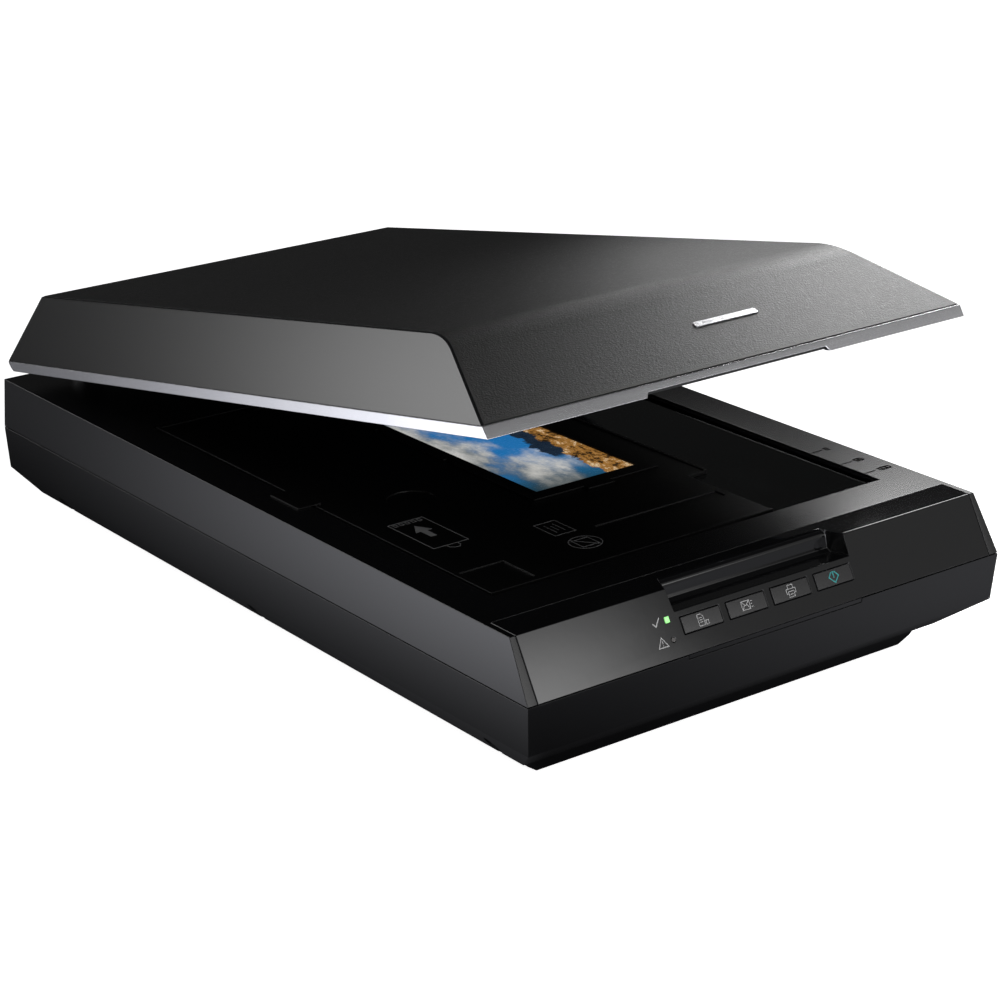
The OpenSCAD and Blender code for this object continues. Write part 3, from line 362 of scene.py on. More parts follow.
COOL = (0.94, 0.96, 1.06)
CREAM = (1, 1, 0.97)
FINISHES = {
    # Case, lid and keys
    "case_black": dict(
        colour=grey(0.003, COOL), rough=0.27, depth=0.0015 * MM, rough_vary=0.004, edge=0.02
    ),
    "panel_gloss": dict(
        colour=grey(0.004, COOL),
        rough=0.06,
        grain=14 * MM,
        depth=0.006 * MM,
        rough_vary=0.004,
        # Its paler edges are a painted highlight along the crest and seams.
        edge=0.22,
    ),
    "lid_black": dict(
        colour=grey(0.008, COOL),
        rough=0.16,
        depth=0.0015 * MM,
        vary=0.06,
        rough_vary=0.005,
        edge=0.12,
    ),
    "leather": dict(
        colour=grey(0.008, (1.0, 0.985, 0.97)),
        rough=0.40,
        grain=0.9 * MM,
        depth=0.10 * MM,
        pattern="leather",
        vary=0.10,
    ),
    # Near black edge of the skin: painted shade of the step down to the cover.
    "skin_edge_shade": dict(colour=grey(0.003), rough=0.6),
    "silver_band": dict(
        colour=(0.72, 0.72, 0.74, 1),
        rough=0.24,
        depth=0.002 * MM,
        vary=0.04,
        rough_vary=0.008,
        metal=0.85,
        edge=0.08,
    ),
    "badge_metal": dict(
        colour=(0.42, 0.42, 0.43, 1),
        rough=0.26,
        grain=0.6 * MM,
        depth=0.004 * MM,
        metal=1.0,
        edge=0.3,
        brushed=(0.06, 1, 1),
    ),
    "key_grey": dict(
        colour=grey(0.012, (1.0, 0.97, 1.02)),
        rough=0.20,
        grain=0.3 * MM,
        depth=0.002 * MM,
        vary=0.06,
        rough_vary=0.008,
        edge=0.12,
    ),
    "error_lens": dict(colour=(0.06, 0.052, 0.05, 1), rough=0.2, coat=0.4),
    "film_holder_black": dict(
        colour=grey(0.002),
        rough=0.34,
        depth=0.004 * MM,
        vary=0.2,
        rough_vary=0.04,
        edge=0.03,
        specular=0.15,
    ),
    "lid_inner_black": dict(
        colour=grey(0.012), rough=0.5, grain=0.6 * MM, depth=0.02 * MM, vary=0.15, edge=0.08
    ),
    "mat_white": dict(
        colour=grey(0.80, CREAM),
        rough=0.6,
        grain=0.9 * MM,
        depth=0.04 * MM,
        pattern="pores",
        vary=0.03,
    ),
    "diffuser": dict(
        colour=(0.80, 0.84, 0.85, 1),
        rough=0.18,
        grain=1.0 * MM,
        depth=0.012 * MM,
        vary=0.03,
        coat=0.3,
    ),
    # Works
    "white_plastic": dict(
        colour=grey(0.80, CREAM),
        rough=0.55,
        grain=0.9 * MM,
        depth=0.03 * MM,
        pattern="pores",
        vary=0.03,
    ),
    "dark_plastic": dict(colour=grey(0.018), rough=0.42, vary=0.15, edge=0.10),
    "grey_plastic": dict(colour=grey(0.40, (1, 1, 1.03)), rough=0.42, edge=0.2),
    "ivory_plastic": dict(colour=(0.72, 0.68, 0.57, 1), rough=0.38, grain=0.6 * MM, vary=0.05),
    "plated_steel": dict(
        colour=(0.56, 0.57, 0.57, 1),
        rough=0.32,
        grain=1.6 * MM,
        depth=0.012 * MM,
        vary=0.1,
        metal=1.0,
        edge=0.25,
        brushed=(1, 0.15, 1),
    ),
    "polished_steel": dict(
        colour=(0.66, 0.67, 0.68, 1),
        rough=0.14,
        grain=0.8 * MM,
        depth=0.003 * MM,
        metal=1.0,
        brushed=(1, 0.05, 1),
    ),
    "brass_gear": dict(
        colour=(0.70, 0.50, 0.20, 1),
        rough=0.28,
        grain=0.7 * MM,
        depth=0.006 * MM,
        metal=1.0,
        edge=0.2,
    ),
    "bronze_bush": dict(
        colour=(0.50, 0.31, 0.12, 1),
        rough=0.42,
        grain=0.25 * MM,
        depth=0.02 * MM,
        pattern="pores",
        metal=0.9,
    ),
    "silvered_glass": dict(
        colour=(0.80, 0.83, 0.85, 1),
        rough=0.04,
        grain=30 * MM,
        vary=0.03,
        rough_vary=0.02,
        metal=1.0,
    ),
    "belt_rubber": dict(
        colour=grey(0.022), rough=0.62, grain=0.4 * MM, depth=0.02 * MM, rough_vary=0.12
    ),
    "foot_rubber": dict(colour=grey(0.035), rough=0.7, depth=0.03 * MM, vary=0.2),
    # Printed marks
    "ink_grey": dict(colour=grey(0.85), rough=0.5, grain=0.3 * MM, depth=0.004 * MM, vary=0.04),
    "ink_faint": dict(colour=grey(0.15), rough=0.5, grain=0.3 * MM, depth=0.004 * MM, specular=0.2),
    "ink_teal": dict(colour=(0.06, 0.50, 0.50, 1), rough=0.45, grain=0.3 * MM, depth=0.004 * MM),
    "ink_dark": dict(colour=grey(0.004), rough=0.7, grain=0.3 * MM, depth=0.004 * MM, specular=0.0),
}
READY_LIGHT = ON_SLOPE @ (Vector((-57.2, 18, 0)) * MM)
looks = {name: finish(name, **settings) for name, settings in FINISHES.items()}
looks["clear_glass"] = see_through("clear_glass", (0.16, 0.17, 0.17, 1), (0.9, 0.93, 0.93, 1))
looks["ready_lens"] = lamp("ready_lens", (0.38, 1.0, 0.32, 1), READY_LIGHT, 2.4 * MM, 0.95, 0.4)
looks["circuit_board"] = board_finish()
looks["ribbon"] = ribbon_finish()
looks["film"] = film_finish()
for name in ("mat_white", "diffuser"):
    dim_in_mirrors(looks[name])

# A CAD node comes with a plain material that is named after its slot in the record
for o in nodes.values():
    slot_name = o.data.materials[0].name.split(".")[0]
    o.data.materials[0] = looks[slot_name]
nodes["document_mat"].data.materials[0] = looks["mat_white"]


# ---------------------------------------------------------------- edges of the CAD nodes

WELD = 0.005 * MM
FLAT = math.radians(0.6)
SHARP = math.radians(32)


def soften(o, width, segments=2):
    """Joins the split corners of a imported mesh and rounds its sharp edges."""
    split = o.data.attributes.get("custom_normal")
    if split:
        o.data.attributes.remove(split)
    o.data.polygons.foreach_set("use_smooth", [True] * len(o.data.polygons))
    weld = o.modifiers.new("weld", "WELD")
    weld.merge_threshold = WELD
    flat = o.modifiers.new("flat", "DECIMATE")
    flat.decimate_type = "DISSOLVE"
    flat.angle_limit = FLAT
    bevel = o.modifiers.new("edges", "BEVEL")
    bevel.width = width * MM
    bevel.segments = segments
    bevel.limit_method = "ANGLE"
    bevel.angle_limit = SHARP
    bevel.use_clamp_overlap = False
    bevel.miter_outer = "MITER_ARC"
    bevel.loop_slide = False
    shade = o.modifiers.new("shade", "WEIGHTED_NORMAL")
    shade.weight = 100
    shade.keep_sharp = False


ROUNDED = {  # radius of the edges, in millimetres
    "lower_case": 0.2,
    "upper_case": 0.35,
    "front_panel": 0.35,
    "lid_cover": 0.5,
    "lid_trim": 0.3,
    "lid_inner_panel": 0.3,
    "film_holder": 0.25,
    "film_cover": 0.2,
    "platen_glass": 0.3,
    "document_mat": 0.5,
    "carriage_housing": 0.3,
    "carriage_cover": 0.25,
    "hinge_posts": 0.5,
    "hinge_brackets": 0.25,
    "transport_lock": 0.3,
    "main_board": 0.15,
    "panel_board": 0.15,
    "sensor_board": 0.2,
    "usb_port": 0.2,
    "power_jack": 0.2,
    "home_sensor": 0.2,
    "belt_clamp": 0.3,
    "rod_clamps": 0.3,
    "motor_bracket": 0.2,
    "stepper_motor": 0.3,
    "belt_tensioner": 0.2,
    "optical_mirrors": 0.25,
    "lid_window": 0.3,
    "light_guide": 0.3,
    "rubber_feet": 0.4,
    "lid_bumpers": 0.3,
    "power_button": 0.4,
    "document_key": 0.3,
    "mail_key": 0.3,
    "copy_key": 0.3,
    "start_key": 0.3,
    "board_components": 0.15,
    "tact_switches": 0.15,
}
for name, width in ROUNDED.items():
    soften(nodes[name], width)
FINE_ROUND = 0.12
for name in ("drive_gear", "motor_pinion", "idler_pulley", "lens_barrel", "guide_rod"):
    soften(nodes[name], FINE_ROUND, segments=1)


# ---------------------------------------------------------------- new pieces


PRINT_SINK = -0.02  # how far a mark reaches into the face below it, in millimetres


def mesh_from(bm, name):
    mesh = bpy.data.meshes.new(name)
    bm.to_mesh(mesh)
    bm.free()
    return mesh


def placed(name, mesh, materials=()):
    """A new object in the scene, with its looks."""
    o = bpy.data.objects.new(name, mesh)
    bpy.context.scene.collection.objects.link(o)
    for m in materials:
        mesh.materials.append(looks[m])
    return o


def piece(name, mesh, body, materials):
    """A new visible part, riding on a CAD body."""
    o = placed(name, mesh, materials)
    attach(o, body)
    return o


def round_off(o, width, limit=30):
    """Narrow rounding of a new piece's edges that turn by more than limit degrees."""
    bevel = o.modifiers.new("edges", "BEVEL")
    bevel.width = width
    bevel.segments = 2
    bevel.limit_method = "ANGLE"
    bevel.angle_limit = math.radians(limit)


def prism(bm, outline, low, high, matrix):
    """Closed prism of a flat outline in a local frame, in millimetres."""
    area = sum(a[0] * b[1] - b[0] * a[1] for a, b in zip(outline, outline[1:] + outline[:1]))
    if area < 0:
        outline = outline[::-1]
    rings = [
        [bm.verts.new(matrix @ (Vector((x, y, z)) * MM)) for x, y in outline] for z in (low, high)
    ]
    bm.faces.new(rings[0][::-1])
    bm.faces.new(rings[1])
    count = len(outline)
    for i in range(count):
        j = (i + 1) % count
        bm.faces.new((rings[0][i], rings[0][j], rings[1][j], rings[1][i]))


def mitred_sides(points, width, closed):
    """Left and right side of a mitred line of even width."""
    count = len(points)
    left, right = [], []
    for i, p in enumerate(points):
        before = points[i - 1] if i or closed else None
        after = points[(i + 1) % count] if i < count - 1 or closed else None
        into = (Vector(p) - Vector(before)).normalized() if before is not None else None
        out = (Vector(after) - Vector(p)).normalized() if after is not None else None
        into, out = into or out, out or into
        bend = (into + out).normalized()
        side = Vector((-bend.y, bend.x)) * (width / 2 / max(0.3, bend.dot(into)))
        left.append(Vector(p) + side)
        right.append(Vector(p) - side)
    return left, right


def print_marks(name, body, look, matrix, lines=(), fills=(), width=0.3, high=0.05):
    """Printed or raised marks: lines of even width and filled outlines, in millimetres."""
    bm = bmesh.new()
    for points, closed in lines:
        count = len(points)
        sides = mitred_sides(points, width, closed)
        low, top = (
            [[bm.verts.new(matrix @ (Vector((p.x, p.y, z)) * MM)) for p in side] for side in sides]
            for z in (PRINT_SINK, high)
        )
        for i in range(count if closed else count - 1):
            j = (i + 1) % count
            bm.faces.new((top[1][i], top[1][j], top[0][j], top[0][i]))
            bm.faces.new((low[0][i], low[0][j], low[1][j], low[1][i]))
            bm.faces.new((top[0][i], top[0][j], low[0][j], low[0][i]))
            bm.faces.new((low[1][i], low[1][j], top[1][j], top[1][i]))
        if not closed:
            bm.faces.new((top[0][0], low[0][0], low[1][0], top[1][0]))
            bm.faces.new((top[1][-1], low[1][-1], low[0][-1], top[0][-1]))
    for outline in fills:
        prism(bm, outline, PRINT_SINK, high, matrix)
    bmesh.ops.recalc_face_normals(bm, faces=bm.faces)
    return piece(name, mesh_from(bm, name), body, [look])


def circle(cx, cy, r, count=28):
    return [
        (cx + r * math.cos(2 * math.pi * i / count), cy + r * math.sin(2 * math.pi * i / count))
        for i in range(count)
    ]


def box_line(x0, y0, x1, y1):
    return [(x0, y0), (x1, y0), (x1, y1), (x0, y1)]


KEY_FACE = ON_SLOPE @ Matrix.Translation(Vector((0, KEY_ROW, 0.35)) * MM)


def key_mark(name, look, lines, fills=(), width=0.26):
    """Sign on a key's face, drawn round its middle: document_mark on document_key, and so on."""
    key = name + "_key"
    middle = (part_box(key)[0][0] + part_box(key)[1][0]) / 2
    face = KEY_FACE @ Matrix.Translation((middle, 0, 0))
    print_marks(name + "_mark", key, look, face, lines, fills, width)


# Page with lines and a folded corner, beside a small one
key_mark(
    "document",
    "ink_grey",
    [
        ([(-2.2, -2.6), (1.0, -2.6), (1.0, 1.2), (-0.1, 2.6), (-2.2, 2.6)], True),
        *(([(-1.5, y), (0.2, y)], False) for y in (1.0, 0.0, -1.0)),
        (box_line(1.7, -2.6, 3.2, -0.8), True),
    ],
)
# Envelope with speed lines
key_mark(
    "mail",
    "ink_grey",
    [
        (box_line(-3.1, -2.0, 1.5, 2.0), True),
        ([(-3.1, 2.0), (-0.8, -0.2), (1.5, 2.0)], False),
        ([(-3.1, -2.0), (-1.4, 0.3)], False),
        ([(1.5, -2.0), (-0.2, 0.3)], False),
        *(([(2.2, y), (x, y)], False) for x, y in ((3.4, 1.3), (3.0, 0.0), (3.4, -1.3))),
    ],
)
# Printer with a sheet
printer = [(-2.7, -1.1), (-2.7, 1.0), (2.7, 1.0), (2.7, -1.1), (1.6, -1.1), (1.6, -0.2)]
printer += [(-1.6, -0.2), (-1.6, -1.1)]
key_mark(
    "copy",
    "ink_grey",
    [
        (printer, True),
        ([(-1.5, 1.0), (-1.5, 2.8), (1.5, 2.8), (1.5, 1.0)], False),
        ([(-1.6, -1.1), (-1.6, -2.8), (1.6, -2.8), (1.6, -1.1)], False),
        ([(-0.8, -1.6), (0.8, -1.6)], False),
    ],
)
# Open diamond with a stem
key_mark(
    "start",
    "ink_teal",
    [
        ([(-0.9, 2.5), (-2.9, 0.2), (0.0, -2.7), (2.9, 0.2), (0.9, 2.5)], False),
        ([(0.0, 2.4), (0.0, -0.4)], False),
    ],
    [circle(0.0, 2.2, 0.55, 12)],
    width=0.55,
)
# Tick beside the ready light and a warning triangle beside the error light
print_marks(
    "ready_mark",
    "base",
    "ink_grey",
    ON_SLOPE,
    [([(-65.4, 18.0), (-64.0, 16.4), (-61.2, 20.0)], False)],
    width=0.5,
)
print_marks(
    "error_mark",
    "base",
    "ink_grey",
    ON_SLOPE,
    [
        ([(-66.0, 6.7), (-60.6, 6.7), (-63.3, 11.2)], True),
        ([(-63.3, 9.6), (-63.3, 8.2)], False),
    ],
    [circle(-63.3, 7.5, 0.22, 10)],
    width=0.36,
)

# Sheet sizes on the right bezel: a tick with one, two or three boxes beside it
sheet_marks = []
for i, y in enumerate((-140.5, -162.9, -180.5)):
    sheet_marks.append(([(116.6, y), (123.6, y)], False))
    for k in range(i + 1):
        x = 126.0 + 2.6 * k
        sheet_marks.append((box_line(x, y - 1.6, x + 1.7, y + 1.6), True))
bezel = Matrix.Translation((0, 0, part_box("upper_case")[1][2]))
print_marks(
    "paper_marks", "base", "ink_dark", bezel, sheet_marks, width=1.0, high=0.03
)

# Marks moulded on the film holder: film strip and arrow, a small plate, and a barred circle
strip = box_line(-102.5, -125.5, -83.0, -86.5)
notches = [box_line(-100.6 + 3.4 * k, -90.2, -98.9 + 3.4 * k, -87.6) for k in range(5)]
hook = [(-95.5, -125.5), (-95.5, -128.4), (-93.6, -130.2), (-91.0, -130.2), (-89.4, -128.4)]
hook += [(-89.4, -125.5)]
arrow = [(-92.8, -94.5), (-88.2, -103.0), (-91.2, -103.0), (-91.2, -111.5), (-94.6, -111.5)]
arrow += [(-94.6, -103.0), (-97.4, -103.0)]
RING_X, RING_Y, RING_R = -44, -164.4, 8
bar = [RING_R * math.cos(2.2), RING_R * math.sin(2.2)]
print_marks(
    "holder_marks",
    "film_holder",
    "ink_faint",
    Matrix.Translation((0, 0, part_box("film_strip")[0][2])),
    [
        (strip, True),
        (hook, False),
        (box_line(-50, -149, -38, -131.5), True),
        ([(-46.5, -135), (-46.5, -145.5)], False),
        ([(-44.0, -137), (-44.0, -143.5)], False),
        ([(-41.5, -135), (-41.5, -145.5)], False),
        (circle(RING_X, RING_Y, RING_R, 40), True),
        (box_line(-48.6, -169, -39.4, -159.6), True),
        ([(RING_X + bar[0], RING_Y + bar[1]), (RING_X - bar[0], RING_Y - bar[1])], False),
        *((notch, True) for notch in notches),
    ],
    [arrow],
    width=0.42,
    high=0.08,
)


# ---------------------------------------------------------------- grained skin of the lid

SKIN_UP = 0.30  # how far the skin stands above the cover
SKIN_IN = 1.15  # how far its edge stays inside the cover's edge
SKIN_SINK = 0.15  # how far it reaches into the cover
SKIN_START = 0.7  # from the foot of the front slope, along it
# Outline of the shut lid, in millimetres: front, ridge and back along Y, heights, half widths
LID_FRONT_Y, LID_RIDGE_Y, LID_BACK_Y = -228.2, -171.3, 235.7
BAND_TOP, LID_TOP = 86.8, 118.7
HALF_AT_BAND, HALF_AT_TOP = 138.6, 114.4
RIDGE_R = 45.0
FRONT_SLOPE = math.atan2(LID_TOP - BAND_TOP, LID_RIDGE_Y - LID_FRONT_Y)


def skin_profile(up):
    """Y and Z of the skin over the front slope, the ridge and the top, raised by up."""
    slope = FRONT_SLOPE
    tangent = RIDGE_R * math.tan(slope / 2)
    cy, cz = LID_RIDGE_Y + tangent, LID_TOP - RIDGE_R
    r = RIDGE_R + up
    out = Vector((-math.sin(slope), math.cos(slope)))
    uphill = Vector((math.cos(slope), math.sin(slope)))
    foot = Vector((LID_FRONT_Y, BAND_TOP)) + uphill * SKIN_START
    points = [foot + out * up]
    steps = 22
    for i in range(steps + 1):
        a = math.pi / 2 + slope * (1 - i / steps)
        points.append(Vector((cy + r * math.cos(a), cz + r * math.sin(a))))
    points.append(Vector((LID_BACK_Y - 1.0, LID_TOP + up)))
    return points


def half_width(z):
    """Half width of the cover at height z."""
    return HALF_AT_BAND + (HALF_AT_TOP - HALF_AT_BAND) * (z - BAND_TOP) / (LID_TOP - BAND_TOP)


def build_skin():
    """Grained sheet over the lid's front slope, ridge and top; its edges are near black, a painted
    shade line where the sheet steps down to the cover.
    """
    bm = bmesh.new()
    base, top = skin_profile(-SKIN_SINK), skin_profile(SKIN_UP)
    rows = []
    for p0, p1 in zip(base, top):
        half = half_width(min(p0.y + SKIN_SINK, LID_TOP)) - SKIN_IN
        row = []
        for x in (-half, half):
            row.append([bm.verts.new(LID_POSE @ (Vector((x, p.x, p.y)) * MM)) for p in (p0, p1)])
        rows.append(row)
    for a, b in zip(rows, rows[1:]):
        bm.faces.new((a[0][1], a[1][1], b[1][1], b[0][1]))
        bm.faces.new((a[1][0], a[0][0], b[0][0], b[1][0]))
        bm.faces.new((a[0][0], a[0][1], b[0][1], b[0][0])).material_index = 1
        bm.faces.new((a[1][1], a[1][0], b[1][0], b[1][1])).material_index = 1
    first, last = rows[0], rows[-1]
    bm.faces.new((first[0][0], first[1][0], first[1][1], first[0][1])).material_index = 1
    bm.faces.new((last[0][1], last[1][1], last[1][0], last[0][0])).material_index = 1
    for face in bm.faces:
        face.smooth = True
    bmesh.ops.recalc_face_normals(bm, faces=bm.faces)
    mesh = mesh_from(bm, "lid_skin")
    o = piece("lid_skin", mesh, "lid", ["leather", "skin_edge_shade"])
    round_off(o, 0.12 * MM, limit=50)
    shade = o.modifiers.new("shade", "WEIGHTED_NORMAL")
    shade.weight = 100


build_skin()


def build_badge():
    """Blank name plate on the lid's front slope."""
    place = (
        LID_POSE
        @ Matrix.Translation(Vector((0, LID_FRONT_Y, BAND_TOP)) * MM)
        @ Matrix.Rotation(FRONT_SLOPE, 4, "X")
        @ Matrix.Translation(Vector((17.5, 30.5, SKIN_UP)) * MM)
    )
    half_x, half_y, r = 18.5, 1.9, 0.9
    outline = []
    for cx, cy, a0 in ((1, 1, 0), (-1, 1, 90), (-1, -1, 180), (1, -1, 270)):
        for k in range(5):
            a = math.radians(a0 + 22.5 * k)
            outline.append(
                (cx * (half_x - r) + r * math.cos(a), cy * (half_y - r) + r * math.sin(a))
            )
    bm = bmesh.new()
    prism(bm, outline, -0.1, 0.55, place)
    o = piece("lid_badge", mesh_from(bm, "lid_badge"), "lid", ["badge_metal"])
    round_off(o, 0.2 * MM)


build_badge()


# ---------------------------------------------------------------- cables, in their rest shape


def sweep(name, path, section, swell=None):
    """Solid strip or cord: a section of (across, thick) points carried along a path at one X."""
    bm = bmesh.new()
    rings = []
    for i, p in enumerate(path):
        along = (path[min(i + 1, len(path) - 1)] - path[max(i - 1, 0)]).normalized()
        up = along.cross(Vector((1, 0, 0)))
        k = swell[i] if swell else 1.0
        ring = [p + k * (Vector((across, 0, 0)) + up * thick) for across, thick in section]
        rings.append([bm.verts.new(q) for q in ring])
    count = len(section)
    for low, high in zip(rings, rings[1:]):
        for i in range(count):
            j = (i + 1) % count
            bm.faces.new((low[i], low[j], high[j], high[i]))
    bm.faces.new(rings[0][::-1])
    bm.faces.new(rings[-1])
    bmesh.ops.recalc_face_normals(bm, faces=bm.faces)
    mesh = mesh_from(bm, name)
    mesh.polygons.foreach_set("use_smooth", [True] * len(mesh.polygons))
    mesh.set_sharp_from_angle(angle=math.radians(40))
    return mesh


def arc(x, centre_y, centre_z, r, start, end, steps):
    """Points of an arc in a plane of constant X; angles in degrees from +Y towards +Z."""
    found = []
    for i in range(steps + 1):
        a = math.radians(start + (end - start) * i / steps)
        found.append(Vector((x, centre_y + r * math.cos(a), centre_z + r * math.sin(a))))
    return found


def run(start, end, step):
    """Evenly spaced points from start towards end, without the end itself."""
    count = max(1, round((end - start).length / step))
    return [start.lerp(end, i / count) for i in range(count)]


def bent_piece(name, mesh, look, node):
    """New piece in place of a CAD cable, which it hides; the piece rides on no body."""
    o = placed(name, mesh, [look])
    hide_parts(node)
    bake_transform(o)


RIBBON_T = 0.3 * MM  # thickness over the conductors
RIBBON_GROOVE = 0.7  # thickness between them, as a part of that
RIBBON_TURN = 8 * MM  # outer radius of the loop
RIBBON_BEND = 1.2 * MM  # radius where the ribbon leaves the loop's plane
CONDUCTORS = 16
STEP = 4 * MM  # between the rings of a straight run
CARRIAGE_END_Y = 150 * MM


def ribbon_section(width):
    """Flat strip with a shallow groove between the conductors, round its outline."""
    pitch = width / CONDUCTORS
    outline = []
    for side in (1, -1):
        for k in range(2 * CONDUCTORS + 1):
            thick = RIBBON_T / 2 * (1.0 if k % 2 else RIBBON_GROOVE)
            outline.append((side * (pitch * k / 2 - width / 2), side * thick))
    return outline


def build_ribbon():
    """Ribbon of the scan head: runs from the main board and the carriage meet in a loop."""
    (x0, y0, z0), (x1, y1, z1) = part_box("flat_cable")
    x = (x0 + x1) / 2
    low_z, high_z = z0 + RIBBON_T / 2, z0 + 2 * RIBBON_TURN - RIBBON_T / 2
    turn_y, turn_z, turn_r = y0 + RIBBON_TURN, z0 + RIBBON_TURN, RIBBON_TURN - RIBBON_T / 2
    board_y, carriage_y = y1 - RIBBON_T / 2, CARRIAGE_END_Y - RIBBON_T / 2
    carriage_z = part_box("carriage_housing")[0][2] - 0.2 * MM
    bend = RIBBON_BEND
    section = ribbon_section(x1 - x0)

    low = run(Vector((x, board_y, z1)), Vector((x, board_y, low_z + bend)), STEP)
    low += arc(x, board_y - bend, low_z + bend, bend, 0, -90, 5)
    low += run(low[-1], Vector((x, turn_y, low_z)), STEP)[1:]
    low += arc(x, turn_y, turn_z, turn_r, 270, 180, 12)

    high = arc(x, turn_y, turn_z, turn_r, 180, 90, 12)
    high += run(high[-1], Vector((x, carriage_y - bend, high_z)), STEP)[1:]
    high += arc(x, carriage_y - bend, high_z + bend, bend, -90, 0, 5)
    high.append(Vector((x, carriage_y, carriage_z)))

    # The loop's fold moves half as far as the carriage; each run's span of Y, centred on the fold,
    # and its height are listed below but not used.
    ends = {
        "scan_ribbon_low": (low, board_y, 2 * y0 - board_y, low_z),
        "scan_ribbon_high": (high, 2 * y0 - carriage_y, carriage_y, high_z),
    }
    for name, (path, start_y, end_y, z) in ends.items():
        mesh = sweep(name, path, section)
        bent_piece(name, mesh, "ribbon", "flat_cable")


CORD_TURN_Z = 42 * MM  # height of the centre of the cord's turn, below the deck
SLEEVE_Z = (62 * MM, 80 * MM)
CORD_THIN = 0.82  # the plain cord's thickness, as a part of the sleeve's ribs


def build_cord():
    """Cord to the lid's lamp, with a ribbed sleeve where it leaves the deck."""
    (x0, y0, z0), (x1, y1, z1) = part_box("lid_cable")
    x, radius = (x0 + x1) / 2, (x1 - x0) / 2
    low_y, high_y = y0 + radius, y1 - radius
    angles = [math.radians(a) for a in range(0, 360, 15)]
    section = [(radius * math.cos(a), radius * math.sin(a)) for a in angles]

    path = run(Vector((x, low_y, z0)), Vector((x, low_y, 40 * MM)), 1.0 * MM)
    path += arc(x, high_y, CORD_TURN_Z, high_y - low_y, 180, 90, 12)
    path += run(path[-1], Vector((x, high_y, z1)), 1.2 * MM)[1:]
    path.append(Vector((x, high_y, z1)))
    swell = [
        1.0 if i % 2 and SLEEVE_Z[0] < p.z < SLEEVE_Z[1] else CORD_THIN for i, p in enumerate(path)
    ]
    mesh = sweep("lamp_cord", path, section, swell)
    bent_piece("lamp_cord", mesh, "belt_rubber", "lid_cable")


build_ribbon()
build_cord()


# ---------------------------------------------------------------- studio

FLOOR_HALF = 6.0
FLOOR_LIFT = 0.94  # glow of the floor as the camera sees it, so that it stays white
FLOOR_FILL = 0.25  # its glow for scattered light
CASE_HALF_X, CASE_HALF_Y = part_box("lower_case")[1][0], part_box("lower_case")[1][1]


def mirrored_floor(g, x, y):
    """Glow of the floor in reflections: lit on the left, dim in front, shaded near the case."""
    rearward = g.math("ADD", y, g.product(g.math("ADD", x, 0.3), 0.6))
    left = g.product(g.ramp(rearward, -0.15, 0.55, 1.75, 0.06), g.ramp(x, -0.14, -0.10, 1.0, 0.0))
    aside = g.math("SUBTRACT", g.math("ABSOLUTE", x), CASE_HALF_X)
    left = g.product(left, g.ramp(aside, 0.0, 0.26, 0.04, 1.7))

    front = g.ramp(y, -0.60, -0.05, 0.40, 0.08)
    front_left = g.product(g.ramp(x, -0.30, 0.30, 2.4, 0.0), g.ramp(y, -0.45, -0.25, 1.0, 0.0))
    ahead = g.math("SUBTRACT", g.math("ABSOLUTE", y), CASE_HALF_Y)
    front = g.product(g.math("ADD", front, front_left), g.ramp(ahead, 0.05, 0.27, 0.05, 1.0))

    # Strip just in front of the case, towards its right end
    close = g.product(
        g.ramp(x, -0.15, 0.20), g.ramp(y, -0.38, -0.32, 0.0, 0.5), g.ramp(y, -0.30, -0.20, 1.0, 0.0)
    )
    return g.math("ADD", left, g.math("ADD", front, close))


def build_floor():
    r = FLOOR_HALF
    mesh = bpy.data.meshes.new("floor")
    mesh.from_pydata([(-r, -r, 0), (r, -r, 0), (r, r, 0), (-r, r, 0)], [], [(0, 1, 2, 3)])
    placed("floor", mesh)
    material, g = new_material("floor")
    mesh.materials.append(material)
    rays = g.node("LightPath").outputs

    uneven = g.ramp(g.noise(0.4, 2.0), 0.2, 0.8, 0.98, 1.0)
    paper = g.node("BsdfDiffuse", None, Color=g.mix(1.0, grey(0.9), uneven, "MULTIPLY"))
    seen = g.node("AddShader")
    g.plug(seen.inputs[0], paper)
    g.plug(seen.inputs[1], g.node("Emission", None, Color=grey(1.0), Strength=FLOOR_LIFT))

    glossy = rays["Is Glossy Ray"]
    mirrored = g.product(glossy, mirrored_floor(g, g.axes()[0], g.axes()[1]))
    scattered = g.product(g.math("SUBTRACT", 1.0, glossy), FLOOR_FILL)
    glow = g.math("ADD", mirrored, scattered)
    unseen = g.node("Emission", None, Color=grey(1.0, (0.97, 0.98, 1.05)), Strength=glow)

    both = g.node("MixShader")
    g.plug(both.inputs[0], rays["Is Camera Ray"])
    g.plug(both.inputs[1], unseen)
    g.plug(both.inputs[2], seen)
    g.plug(g.node("OutputMaterial").inputs["Surface"], both)


# Bright regions of the studio, for reflections and scattered light. Each has a span of azimuth
# (from +Y towards +X), a span of elevation, how far each of the two fades out beyond its ends,
# all in degrees, and a strength.
REGIONS = (
    (-44, -19, 19, 32, 6, 7, 3.6),  # behind on the left
    (-150, -95, 20, 60, 10, 15, 0.6),  # left, towards the front
    (118, 150, 4, 30, 8, 8, 0.42),  # in front on the right
    (145.5, 179, 14, 23, 5, 5, 4.4),  # straight in front
    (-179, -165, 4, 24, 4, 6, 4.0),  # straight in front, on the left of the last one
)
ROOM_GLOW = 0.03
OVERHEAD_GLOW = 0.25
SCATTERED_SHARE = 0.25  # of the studio's glow, for scattered light


def region(g, azimuth, elevation, spans):
    az0, az1, el0, el1, soft_az, soft_el = (math.radians(a) for a in spans[:-1])
    strength = spans[-1]
    return g.product(
        g.ramp(azimuth, az0 - soft_az, az0),
        g.ramp(azimuth, az1 + soft_az, az1),
        g.ramp(elevation, el0 - soft_el, el0),
        g.ramp(elevation, el1 + soft_el, el1),
        strength,
    )


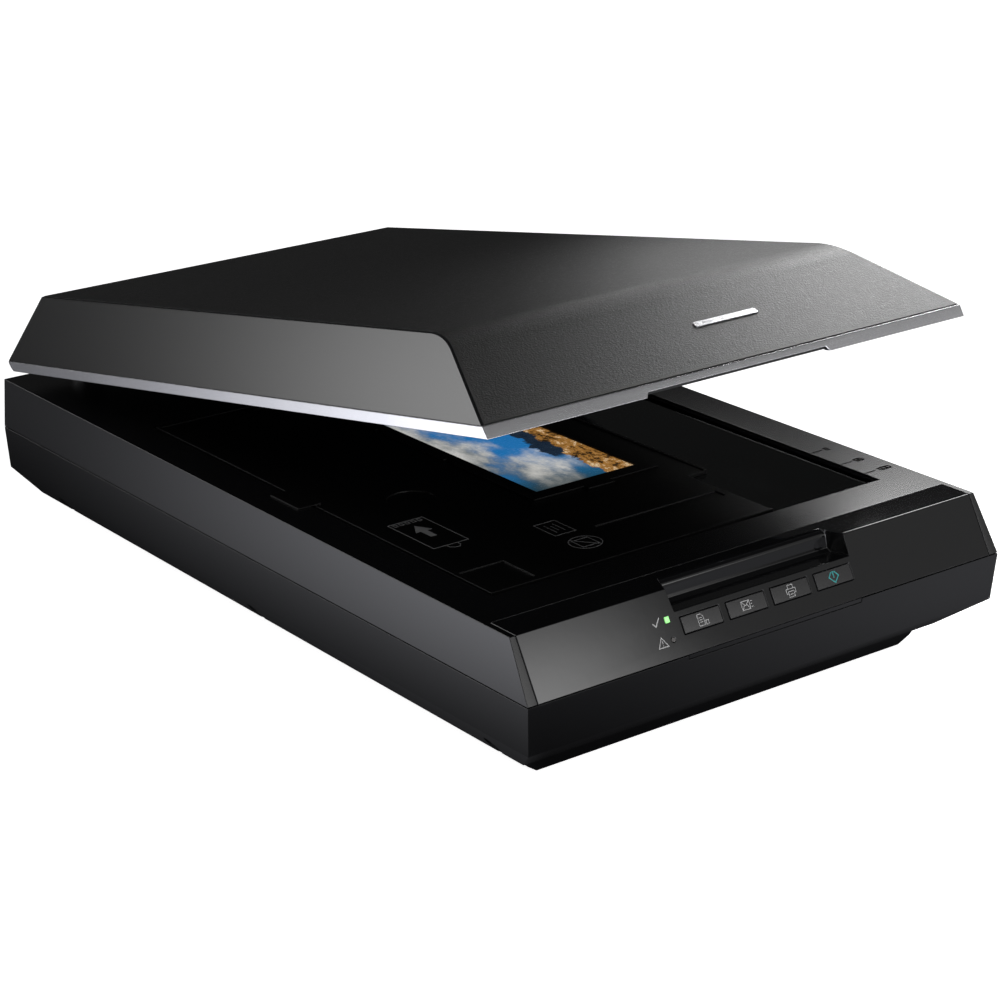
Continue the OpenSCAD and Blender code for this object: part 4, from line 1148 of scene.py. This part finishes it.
def build_world():
    """White for the camera; a dark room with soft bright regions for everything else."""
    world = bpy.data.worlds.new("studio")
    bpy.context.scene.world = world
    world.use_nodes = True
    g = Graph(world.node_tree)
    way = g.axes(g.node("TexCoord").outputs["Generated"])
    azimuth, elevation = g.math("ARCTAN2", way[0], way[1]), g.math("ARCSINE", way[2])
    glow = ROOM_GLOW
    for spans in REGIONS:
        glow = g.math("ADD", glow, region(g, azimuth, elevation, spans))
    overhead = g.ramp(elevation, math.radians(60), math.radians(85))
    glow = g.math("ADD", glow, g.product(overhead, OVERHEAD_GLOW))
    rays = g.node("LightPath").outputs
    camera_ray = rays["Is Camera Ray"]
    glow = g.product(glow, g.ramp(rays["Is Diffuse Ray"], 0.0, 1.0, 1.0, SCATTERED_SHARE))
    strength = g.math("ADD", g.product(glow, g.math("SUBTRACT", 1.0, camera_ray)), camera_ray)
    background = g.node("Background", None, Color=(1, 1, 1, 1), Strength=strength)
    g.plug(g.node("OutputWorld").inputs["Surface"], background)


def softbox(name, at, aim, side, watts, spread=180):
    """Square area light, aimed at a point, with its light held within spread degrees."""
    light = bpy.data.lights.new(name, "AREA")
    light.shape = "RECTANGLE"
    light.size = light.size_y = side
    light.energy = watts
    light.spread = math.radians(spread)
    o = bpy.data.objects.new(name, light)
    o.location = at
    o.rotation_mode = "QUATERNION"
    o.rotation_quaternion = (Vector(aim) - Vector(at)).to_track_quat("-Z", "Y")
    bpy.context.scene.collection.objects.link(o)
    return o


build_floor()
build_world()
key = softbox("key", (-0.9, -0.9, 1.7), (0, 0, 0.05), side=1.2, watts=8)
key.visible_glossy = False
# Two near softboxes over the right side, whose light fades across the lid and along its ridge
softbox("side", (0.425, 0.0, 0.385), (0.17, -0.18, 0.14), side=0.25, watts=0.32, spread=64)
softbox("rim", (0.30, 0.20, 0.34), (0.07, -0.17, 0.165), side=0.12, watts=0.014, spread=46)

# ---------------------------------------------------------------- camera

CAMERA_AT = Vector((-0.7509, -1.1214, 0.5354))
YAW, PITCH, ROLL = (math.radians(a) for a in (37.76, -19.87, -1.09))  # yaw from +Y towards +X
SENSOR, FOCAL = 36.0, 98.7804  # millimetres
SHIFT_X, SHIFT_Y = -0.143, -0.0116  # of the picture, as parts of its width

ahead = Vector((math.sin(YAW) * math.cos(PITCH), math.cos(YAW) * math.cos(PITCH), math.sin(PITCH)))
level = Vector((math.cos(YAW), -math.sin(YAW), 0))
upright = level.cross(ahead)
right = level * math.cos(ROLL) + upright * math.sin(ROLL)
up = upright * math.cos(ROLL) - level * math.sin(ROLL)
lens = bpy.data.cameras.new("camera")
lens.sensor_width, lens.lens = SENSOR, FOCAL
lens.shift_x, lens.shift_y = SHIFT_X, SHIFT_Y
lens.clip_start, lens.clip_end = 0.05, 50
camera = bpy.data.objects.new("camera", lens)
turn = Matrix((right, up, -ahead)).transposed().to_4x4()
camera.matrix_world = Matrix.Translation(CAMERA_AT) @ turn
bpy.context.scene.collection.objects.link(camera)
bpy.context.scene.camera = camera
bpy.context.scene.view_settings.view_transform = "Standard"
